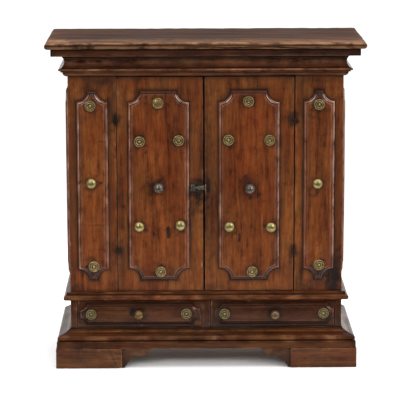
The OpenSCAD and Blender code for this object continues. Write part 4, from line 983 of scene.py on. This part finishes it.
LEFT_DOOR_WIDER = 1.6
for seed, side in ((71, "left"), (72, "right")):
    door, middle = f"{side}_door", (DOOR_PANEL_X[side], MID_PANEL)
    low, high = bounds_of(f"{door}_board")

    def door_marks(flat, marks):
        marks = shade_and_wax_round_panel(flat, marks, middle, *DOOR_PANEL)
        # Painted shade along the door's edges by the gaps, strongest at the top.
        marks[:, 1] += 0.35 * fade(flat[:, 2] - low[2], 4) + 0.8 * fade(high[2] - flat[:, 2], 7)
        marks[:, 1] += 0.3 * fade(flat[:, 0] - low[0], 5) + 0.3 * fade(high[0] - flat[:, 0], 5)
        return stain_and_shadow_at(flat, marks, DOOR_SPOTS[side])

    wide = low - [LEFT_DOOR_WIDER * (side == "left"), 0, 0]
    lay_board(
        f"{door}_wood", f"{door}_board", door, walnut, "walnut", "Z", seed, 1.2, (4, 8, 4), (wide, high),
        door_marks, worn=0.35,
    )
    applied_panel(
        f"{door}_field", middle, DOOR_PANEL, PANEL_T, door, seed + 2, 260, 90, node=f"{door}_panel",
        # Strength of the painted highlights on the rim's left and right sides.
        rim_highlights=(1.0, 1.25) if side == "left" else (0.45, 1.7),
        spots=PANEL_SPOTS[side] + shadow_rings(DOOR_PANEL_X[side], RINGS[side] + DOMES[side]),
    )

# Drawers
# Two short drawers side by side, each with one applied panel. Sides and back are of paler wood.
DRAWER_MID = {"left": -199.5, "right": 204.5}
MID_DRAWER = 158.0
DRAWER_LOW = 117.5
DRAWER_RINGS = {"left": ((-146, 0), (140, 1)), "right": ((-149, 0), (148, 1))}
DRAWER_KNOBS = {"left": (-2, 3), "right": (1.5, 1)}
for seed, side in ((81, "left"), (82, "right")):
    drawer, centre = f"{side}_drawer", DRAWER_MID[side]

    def drawer_marks(flat, marks):
        # Painted shade in the gap along the drawer's bottom edge.
        marks[:, 1] += 0.8 * bell(flat[:, 2] - DRAWER_LOW, 2.5)
        return shade_and_wax_round_panel(flat, marks, (centre, MID_DRAWER), *DRAWER_PANEL, 0.6, 4)

    lay_board(
        f"{drawer}_wood", f"{drawer}_front", drawer, drawer_walnut, "walnut_base", "X", seed, 1.1,
        (4, 8, 4), marked=drawer_marks, worn=0.25,
    )
    x, z = centre + DRAWER_KNOBS[side][0], MID_DRAWER + DRAWER_KNOBS[side][1]
    applied_panel(
        f"{drawer}_field", (centre, MID_DRAWER), DRAWER_PANEL, DRAWER_PANEL_T, drawer, seed + 2, 28, 150,
        # On a drawer the top of the rim is only a little darker.
        fibre="X", material=drawer_walnut, slot="walnut_base", top_darkening=0.1, node=f"{drawer}_panel",
        spots=(
            # The first spot and those at the bosses are painted shadow rings round the knob and the bosses;
            # the second is a stain.
            (x - 2, z + 1, 22, 22, 1.1), (x - 22, z + 12, 10, 8, 0.9 * (side == "left")),
            *((centre + a, MID_DRAWER + b, 21, 21, 0.7) for a, b in DRAWER_RINGS[side]),
            (centre - 166, 172, 14, 14, 0.6), (centre + 164, 148, 14, 14, 0.5),
        ),
    )

# Feet
# Broad block feet, mitred at the front corners, with shaped brackets beside them. They stand a little
# proud of the base and have the knocks and the dirt of feet.
FOOT_H = 59
FOOT_IN, FOOT_OUT, FOOT_MITRE = 253, 451, -154
SIDE_FOOT_END, BACK_FOOT_START = -64, 112
FEET = {
    "front": ((FOOT_IN, -184, 0), (FOOT_OUT, FOOT_MITRE, FOOT_H)),
    "side": ((421, FOOT_MITRE, 0), (FOOT_OUT, SIDE_FOOT_END, FOOT_H)),
    "back": ((421, BACK_FOOT_START, 0), (FOOT_OUT, Y_BACK, FOOT_H)),
}
FOOT_LINE_X = -292
BRACKET_T, BRACKET_UP = 24.0, 38
BRACKET_X, BRACKET_Y = 447, -180
FRONT_BRACKET, SIDE_BRACKET = 88, 60


def foot_marks(flat, marks):
    """Dirt along the floor and under the base, and a dark slanting line on the left front foot."""
    marks[:, 1] += 0.6 * fade(flat[:, 2], 7) + 0.15 * fade(FOOT_H - flat[:, 2], 4)
    off = flat[:, 0] - FOOT_LINE_X - 0.45 * (FOOT_H - flat[:, 2])
    marks[:, 1] += 0.8 * np.exp(-(off**2) / 3) * (flat[:, 2] > 12)
    return marks


for n, (kind, side) in enumerate((kind, side) for kind in FEET for side in ("left", "right")):
    low, high = np.array(FEET[kind], float)
    if side == "left":
        low[0], high[0] = -high[0], -low[0]
    lay_board(
        f"{side}_{kind}_foot", f"{kind}_foot_boards" if side == "left" else None, "case", foot_walnut,
        "walnut_base", "X" if kind == "front" else "Y", 90 + n, 1.3, (5, 5, 4), (low, high), foot_marks,
        chips=14, worn=0.55,
    )


def bracket_outline(length):
    """Bracket seen from the front: x runs from the foot to the tip, then its height. A toe, a slope up to
    the cusp with its small step, the long edge, and a short hollow that rises to the tip."""
    return np.concatenate([
        np.array([(0, 0), (6, 0), (31, 32), (31, BRACKET_UP)]),
        np.linspace((33, BRACKET_UP), (length - 20, BRACKET_UP), 12),
        np.array([(length, BRACKET_UP)]) + [
            (-15.5, 1.3), (-11.5, 4.5), (-8.8, 9), (-7, 13), (-4, 16.5), (-0.8, 19.3),
        ],
        np.array([(length, FOOT_H), (0, FOOT_H)]),
    ])


def plate(outline, near, far, ease):
    """A flat plate of an outline, its edge rounded on both faces: rings of the outline drawn in along
    its own normals, as the quarter rounds need, with a flat face at each end."""
    out = normals_of(np.roll(outline, -1, axis=0) - np.roll(outline, 1, axis=0))
    turn = np.radians([0, 30, 60, 90])
    rise, draw = ease * (1 - np.cos(turn)), ease * (1 - np.sin(turn))
    depths = np.concatenate([near + rise, far - rise[::-1]])
    drawn = np.concatenate([draw, draw[::-1]])
    rings = outline[None] - out[None] * drawn[:, None, None]
    return np.concatenate([rings, np.broadcast_to(depths[:, None, None], (*rings.shape[:2], 1))], -1)


def bracket(name, node, length, start, way, along_y, seed):
    """A bracket plate that runs from start in the direction way, along X on the front or along Y on a side,
    24 mm thick. Its lower edge is rubbed, it is dirty by the floor and next to the foot block, and painted
    shade also darkens it next to the foot block."""
    outline = bracket_outline(length)
    outline = evenly(np.vstack([outline, outline[:1]]), 2.2)[:-1]
    shape = plate(outline, 0.0, BRACKET_T, 1.0)
    rings, steps = shape.shape[1], shape.shape[0]
    run_out, up, deep = shape.reshape(-1, 3).T
    if along_y:
        x, y0 = start
        points = spread(np.sign(x) * (abs(x) - deep), y0 + way * run_out, up)
        flip = np.sign(x) * way < 0
    else:
        x0, y = start
        points = spread(x0 + way * run_out, y + deep, up)
        flip = way < 0
    edge = np.repeat(np.arange(steps) % (steps - 1) == 0, rings)
    # Dirt by the floor, and dirt with painted shade in the corner next to the foot block.
    marks = marks_of(0.45 * edge, 0.5 + 0.3 * fade(up, 9) + 0.4 * fade(run_out, 12))
    points[:, :2] += 0.15 * np.stack([ripple(points, 60, seed), ripple(points, 60, seed + 1)], 1)
    put(
        name, points, sweep_faces(rings, steps, bool(flip)), "case", foot_walnut, "walnut_base", marks,
        "Y" if along_y else "X", seed, node=node,
    )


bracket("left_front_bracket", "front_brackets", FRONT_BRACKET, (-FOOT_IN, BRACKET_Y), 1, False, 101)
bracket("right_front_bracket", None, FRONT_BRACKET, (FOOT_IN, BRACKET_Y), -1, False, 103)
for side, name in ((-1, "left"), (1, "right")):
    node = "side_brackets" if side < 0 else None
    bracket(
        f"{name}_side_bracket", node, SIDE_BRACKET, (side * BRACKET_X, SIDE_FOOT_END), 1, True, 105 + side,
    )
    bracket(
        f"{name}_back_bracket", None, SIDE_BRACKET, (side * BRACKET_X, BACK_FOOT_START), -1, True,
        108 + side,
    )

# Inside and back
# Plainer wood that was never waxed: floors, shelf and drawer linings, and three back boards with a thin
# dark tongue in the joint between each two, which keeps light and dust out.
INSIDE = ((78, 56, 38), (118, 90, 62), (146, 116, 82), (158, 128, 96), (36, 26, 18))
BACK_BOARD = 0.265
BACK_JOINT = 1.0


def give(nodes, material):
    """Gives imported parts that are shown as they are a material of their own."""
    for node in nodes:
        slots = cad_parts[node].data.materials
        slots.clear()
        slots.append(material)


for name, fibre, boards, nodes in (
    (
        "plain_wood_across", "X", None,
        (
            "cupboard_floor", "shelf", "drawer_floor", "left_drawer_back", "right_drawer_back",
            "left_drawer_bottom", "right_drawer_bottom",
        ),
    ),
    (
        "plain_wood_deep", "Y", ((0, 0, 0), (5, 0, 5)),
        ("shelf_cleats", "left_drawer_sides", "right_drawer_sides"),
    ),
    ("plain_wood_back", "Z", ((-0.3975, 0, 0), (1 / BACK_BOARD, 0, 0)), ("back_boards",)),
    ("plain_wood_upright", "Z", None, ("corner_blocks",)),
):
    give(nodes, wood(name, *INSIDE, 0.7, 0.62, fibre, wax=0.0, shine=0.1, boards=boards))
tongue_wood = wood(
    "tongue_wood", (40, 29, 20), (66, 49, 34), (84, 64, 45), (96, 76, 56), (24, 18, 12), 0.7, 0.7, wax=0.0,
    shine=0.05,
)
for number in (1, 2):
    joint = BACK_LOW[0] + number * (BACK_HIGH[0] - BACK_LOW[0] + BACK_JOINT) / 3 - BACK_JOINT / 2
    low = np.array([joint - 1.2, BACK_LOW[1] + 5, BACK_LOW[2] + 1])
    high = np.array([joint + 1.2, BACK_LOW[1] + 9, BACK_HIGH[2] - 1])
    lay_board(
        f"back_tongue_{number}", None, "case", tongue_wood, "pale_wood", "Z", 110 + number, 0.4, (3, 3, 20),
        (low, high),
    )

# Brass
# Cast bosses with two rings round an eye, plain domes, and ball knobs on turned collars, all yellow brass
# gone greenish, with black wax in the grooves.


def metal(name, bright, dull, roughness, grime=(20, 18, 12)):
    """Metal whose tone wanders between bright and dull in soft blotches, with dark wax where the marks
    attribute has dirt."""
    material, out = new_material(name)
    tree = material.node_tree
    place = add(tree, "ShaderNodeTexCoord").outputs["Object"]
    blotch = add(
        tree, "ShaderNodeTexNoise", [("Vector", place), ("Scale", 190.0), ("Detail", 4.0)],
    ).outputs[0]
    dirt = marks_in(tree)[1]
    colour = blended(tree, ramped(tree, blotch, 0.35, 0.68), tone(*bright), tone(*dull))
    relief = add(tree, "ShaderNodeBump", [("Strength", 0.12), ("Distance", 0.0004), ("Height", blotch)])
    surface(tree, out, [
        ("Base Color", blended(tree, dirt, colour, tone(*grime))),
        ("Metallic", ramped(tree, dirt, 0.0, 1.0, 0.85, 0.1)),
        ("Roughness", ramped(tree, blotch, 0.3, 0.7, roughness - 0.08, roughness + 0.15)),
        ("Normal", relief.outputs[0]),
    ])
    return material


dome_brass = metal("dome_brass", (176, 162, 108), (134, 120, 72), 0.32)
brass = metal("old_brass", (196, 170, 114), (116, 98, 58), 0.32, (30, 22, 12))
dark_brass = metal("dark_brass", (160, 142, 96), (92, 80, 50), 0.34, (26, 20, 12))
yellow_bronze = metal("yellow_bronze", (124, 98, 62), (78, 58, 36), 0.38)
brown_bronze = metal("brown_bronze", (124, 98, 74), (72, 54, 40), 0.38)
bronze = metal("old_bronze", (128, 114, 102), (66, 58, 52), 0.36)
iron = metal("black_iron", (70, 58, 50), (36, 29, 25), 0.5, (22, 15, 11))
worn_iron = metal("worn_iron", (158, 150, 126), (92, 84, 68), 0.34, (30, 24, 18))
# Its pale pink tone paints a highlight on the rubbed iron of the keep.
keep_iron = metal("keep_iron", (196, 158, 148), (120, 96, 88), 0.34, (36, 32, 26))


def turned(keys, segments, seed, wobble=0.15, pitch=0.6):
    """A turned or cast round piece: the outline of radius and height goes once round its axis. The height
    wavers with the angle as hand-worked castings do. Returns points (across, up, out), faces and dirt."""
    line, _, hollow = section(keys, pitch, 0, 1.6)
    radius, height = line[:-1].T[:, :, None]
    turn = np.linspace(0, 2 * np.pi, segments + 1)[:-1]
    waver = 1 + 0.012 * np.cos(2 * turn + seed) + 0.008 * np.cos(3 * turn + 2.1 * seed)
    across, up = radius * waver * np.cos(turn), radius * waver * np.sin(turn)
    tilt = wobble * np.cos(turn + 1.7 * seed) * (radius / radius.max())
    out = height + tilt * (height > 0.4)
    at = np.arange(across.size).reshape(across.shape)
    quads = quads_of(at, True, True).tolist()
    peak = [0, 0, float(np.atleast_2d(keys[-1])[-1, 1])]
    points = np.concatenate([spread(across, up, out).reshape(-1, 3), [peak]])
    fan = [[a, b, at.size] for a, b in zip(at[-1].tolist(), np.roll(at[-1], -1).tolist())]
    base = [at[0][::-1].tolist()]
    dirt = np.append(np.repeat(((hollow[:-1] + 0.01) / 0.12).clip(0, 1), segments), 0)
    return points, quads + fan + base, dirt


DISH_BOSS = [
    (16.5, 0), (16.5, 1.6), (16.2, 2.0), arc((14.1, 2), 1.9, 10, 150, 10), (12.2, 2.7),
    arc((0, -37), 41.6, 73.2, 90, 12),
]
RING_BOSS = [
    (16.5, 0), (16.5, 1.6), (16.2, 2.0), arc((14.1, 2), 1.9, 10, 170, 10), (11.9, 1.7), (11.3, 1.9),
    arc((9.24, 2.8), 1.9, 0, 180, 10), (6.9, 2.3), (5.2, 2.3), arc((0, 2.8), 4.2, 8, 90, 10),
]
DOME = [(14.5, 0), (14.5, 0.9), (14.2, 1.2), (13.4, 1.3), arc((0, -13.2), 19.7, 47.5, 90, 16)]
KNOB = [
    (8.6, 0), arc((8.5, 1.5), 1.5, -80, 80, 8), (6.2, 3.2), (6, 4), (6, 6.5), (6.6, 7.6),
    arc((0, 22.8), 16, -64, 90, 30),
]
# Radius and half width of the dark grooves in a ring boss, and last of the painted shade at its outer foot
GROOVES_AND_FOOT_SHADE = ((11.6, 1.35), (6.1, 1.2), (17.2, 1.8))


def joined(parts):
    """Several lists of points and faces as one."""
    points, faces, base = [], [], 0
    for these, ones in parts:
        points.append(these)
        faces += [[int(v) + base for v in face] for face in ones]
        base += len(these)
    return np.concatenate(points), faces


def fit(name, node, body, material, slot, kinds, base_out, seed):
    """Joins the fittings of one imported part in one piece: each is an outline, a place on the front and
    its own small tilt."""
    parts, dirt = [], []
    for n, (keys, x, z) in enumerate(kinds):
        one, these, dark = turned(keys, 44, seed + n)
        if keys is RING_BOSS:
            away = np.hypot(one[:, 0], one[:, 1])
            dark = np.maximum(dark * 0.6, sum(bell(away - r, wide) for r, wide in GROOVES_AND_FOOT_SHADE))
        one[:, 2] += base_out
        parts.append((place_on(one, (x, z)), these))
        dirt.append(dark)
    marks = marks_of(0.0, np.concatenate(dirt))
    put(name, *joined(parts), body, material, slot, marks, "Z", seed, 40, node)


for seed, side in ((111, "left"), (121, "right")):
    door, drawer, x0 = f"{side}_door", f"{side}_drawer", DOOR_PANEL_X[side]
    kinds = [(RING_BOSS, x0 + x, MID_PANEL + z) for x, z in RINGS[side]]
    if side == "left":
        kinds[0] = (DISH_BOSS, *kinds[0][1:])
    fit(f"{door}_brass", f"{door}_bosses", door, brass, "brass", kinds, PANEL_T, seed)
    kinds = [(DOME, x0 + x, MID_PANEL + z) for x, z in DOMES[side]]
    fit(f"{door}_domes", None, door, dome_brass, "brass", kinds, PANEL_T, seed + 4)
    kinds = [(KNOB, x0 + KNOBS[side][0], MID_PANEL + KNOBS[side][1])]
    fit(f"{door}_pull", f"{door}_knob", door, bronze, "bronze", kinds, PANEL_T, seed + 8)
    x0 = DRAWER_MID[side]
    kinds = [(RING_BOSS, x0 + x, MID_DRAWER + z) for x, z in DRAWER_RINGS[side]]
    fit(
        f"{drawer}_brass", f"{drawer}_bosses", drawer, dark_brass, "brass", kinds, DRAWER_PANEL_T,
        seed + 20,
    )
    kinds = [(KNOB, x0 + DRAWER_KNOBS[side][0], MID_DRAWER + DRAWER_KNOBS[side][1])]
    drawer_bronze = yellow_bronze if side == "left" else brown_bronze
    fit(
        f"{drawer}_pull", f"{drawer}_knob", drawer, drawer_bronze, "bronze", kinds, DRAWER_PANEL_T,
        seed + 24,
    )
fit(
    "stile_brass", "stile_bosses", "case", brass, "brass",
    [(RING_BOSS, -341, 790), (RING_BOSS, -335, 306), (RING_BOSS, 335, 792), (RING_BOSS, 337, 308)],
    PANEL_T, 151,
)
fit(
    "stile_domes", None, "case", dome_brass, "brass", [(DOME, -340, 557.5), (DOME, 332, 554.5)], PANEL_T,
    155,
)

# Ironwork
# Forged hinge eyes in the stiles with staples in the doors for pins, and a small flat bolt on a plate. The
# iron is black with wax, and rubbed bright on the bolt's fishtail, its two straps and the keep, whose pale
# pink tone is also a painted highlight.
give(
    ("left_hinge_eyes", "right_hinge_eyes", "left_hinge_staples", "right_hinge_staples", "back_nails"),
    iron,
)

Z_BOLT = 543.0
# How far the parts of the latch stand out, counted from Y = 0
PLATE_OUT = 142
BOLT_NEAR, BOLT_FAR, STUD_OUT = 142.2, 145.6, 145.4
STRAP_NEAR, KEEP_NEAR, STRAP_OUT = 141.2, 140.6, 147.8


def round_bar(path, side, wide, thick, ease=0.5):
    """A flat bar bent along a path. Its section is a rectangle with rounded corners, wide along the side
    direction and thick along the path's own normal, which is side crossed with the path's direction."""
    path, side = np.array(path, float), np.array(side, float)
    ways = np.gradient(path, axis=0)
    ways /= np.linalg.norm(ways, axis=1)[:, None]
    normal = np.cross(side[None], ways)
    quarters = ((1, 1, 0), (-1, 1, 90), (-1, -1, 180), (1, -1, 270))
    across, deep = wide / 2 - ease, thick / 2 - ease
    outline = np.concatenate(
        [arc((a * across, b * deep), ease, turn, turn + 90, 4) for a, b, turn in quarters]
    )
    points = path[:, None] + outline[None, :, :1] * side + outline[None, :, 1:] * normal[:, None]
    return points.reshape(-1, 3), sweep_faces(len(outline), len(path), True)


def strap_path(x, near, far, half, bend=1.6):
    """Up from the plate, over the bolt and back, with two rounded bends: x, then out and height."""
    top = arc((far - bend, half - bend), bend, 90, 0, 6)
    turn = np.concatenate([[(near, half)], top, top[::-1] * [1, -1], [(near, -half)]])
    return spread(x, -turn[:, 0], Z_BOLT + turn[:, 1])


NOSE = 17.0
STRAP_X = (-43.0, -35.4)
BRAD = [(1.9, -2.0), (1.9, 0.1), (1.5, 0.35), (0.8, 0.45)]


def latch():
    """The plate with its screws, two straps on their feet, the bolt with its stud, and the keep."""
    low, high = bounds_of("latch_plate")
    points, faces, _, flat = board(
        low * [1, 0, 1] + [0, -PLATE_OUT, 0], high, 0.7, (1.5, 1, 1.5), 171, 0.5, 8,
    )
    away = [np.hypot(flat[:, 0] - x, flat[:, 2] - z) for x in (-46.5, -13) for z in (533.5, 552.5)]
    screws = sum(bell(r, 1.6) for r in away)
    marks = marks_of(0.0, 0.35 + 0.6 * screws)
    put(
        "latch_back_plate", points, faces.tolist(), "left_door", iron, "iron", marks, "X", 171,
        node="latch_plate",
    )
    bridge = [
        round_bar(strap_path(x, STRAP_NEAR, STRAP_OUT - 1.1, 5.6), (1, 0, 0), 2.2, 2.0) for x in STRAP_X
    ]
    for z in (535.3, 550.7):
        points, faces, _, _ = board(
            (-45.5, -143.4, z - 1.8), (-32.9, -141.6, z + 1.8), 0.8, (2, 1, 2), int(z), 0.5, 0,
        )
        bridge.append((points, faces))
    points, faces = joined(bridge)
    put(
        "latch_straps", points, faces, "left_door", worn_iron, "iron", np.full((len(points), 3), 0.4), "X",
        172,
    )
    low, high = bounds_of("latch_bolt")
    nose, flare = high[0], high[0] - NOSE
    waist = flare + 0.45 * NOSE
    half, wide = 3.5, 7.0
    side = np.array(
        [(low[0], -half), (flare, -half), (flare + 1.6, -wide), (waist, -half - 0.4), (nose, -wide)]
    )
    outline = np.concatenate([side, side[::-1] * [1, -1]])
    outline = evenly(np.vstack([outline, outline[:1]]), count=120)[:-1]
    points = plate(outline, BOLT_NEAR, BOLT_FAR, 0.6)
    shape = points.shape
    flat = points.reshape(-1, 3)
    placed = spread(flat[:, 0], -flat[:, 2], Z_BOLT + flat[:, 1])
    stud, stud_faces, _ = turned([(2.4, 0), (2.4, 3.6), arc((0.4, 3.0), 2.0, 20, 90, 6)], 20, 5, 0.05, 0.5)
    stud = spread(waist + stud[:, 0], -STUD_OUT - stud[:, 2], Z_BOLT + stud[:, 1])
    points, faces = joined([(placed, sweep_faces(shape[1], shape[0])), (stud, stud_faces)])
    dark = 0.8 / (1 + np.exp((points[:, 0] - flare + 3) / 1.2))
    put(
        "latch_bolt_iron", points, faces, "latch_bolt", worn_iron, "iron", marks_of(0.0, dark), "X", 173,
        node="latch_bolt",
    )
    low, high = bounds_of("latch_keep")
    path = strap_path((low[0] + high[0]) / 2, KEEP_NEAR, STRAP_OUT - 1.1, (high[2] - low[2]) / 2 - 1)
    points, faces = round_bar(path, (1, 0, 0), high[0] - low[0], 2.0)
    marks = np.zeros((len(points), 3))
    put(
        "latch_keep_iron", points, faces, "right_door", keep_iron, "iron", marks, "Z", 174,
        node="latch_keep",
    )


latch()
for side, places in NAIL_PLACES.items():
    heads = []
    for n, (x, z) in enumerate(places):
        points, faces, _ = turned(BRAD, 12, n, 0.05, 0.4)
        heads.append((place_on(points + [0, 0, 9.9], (x, z)), faces))
    points, faces = joined(heads)
    put(
        f"{side}_door_brads", points, faces, f"{side}_door", iron, "iron", np.full((len(points), 3), 0.5),
        "Z", 180,
    )
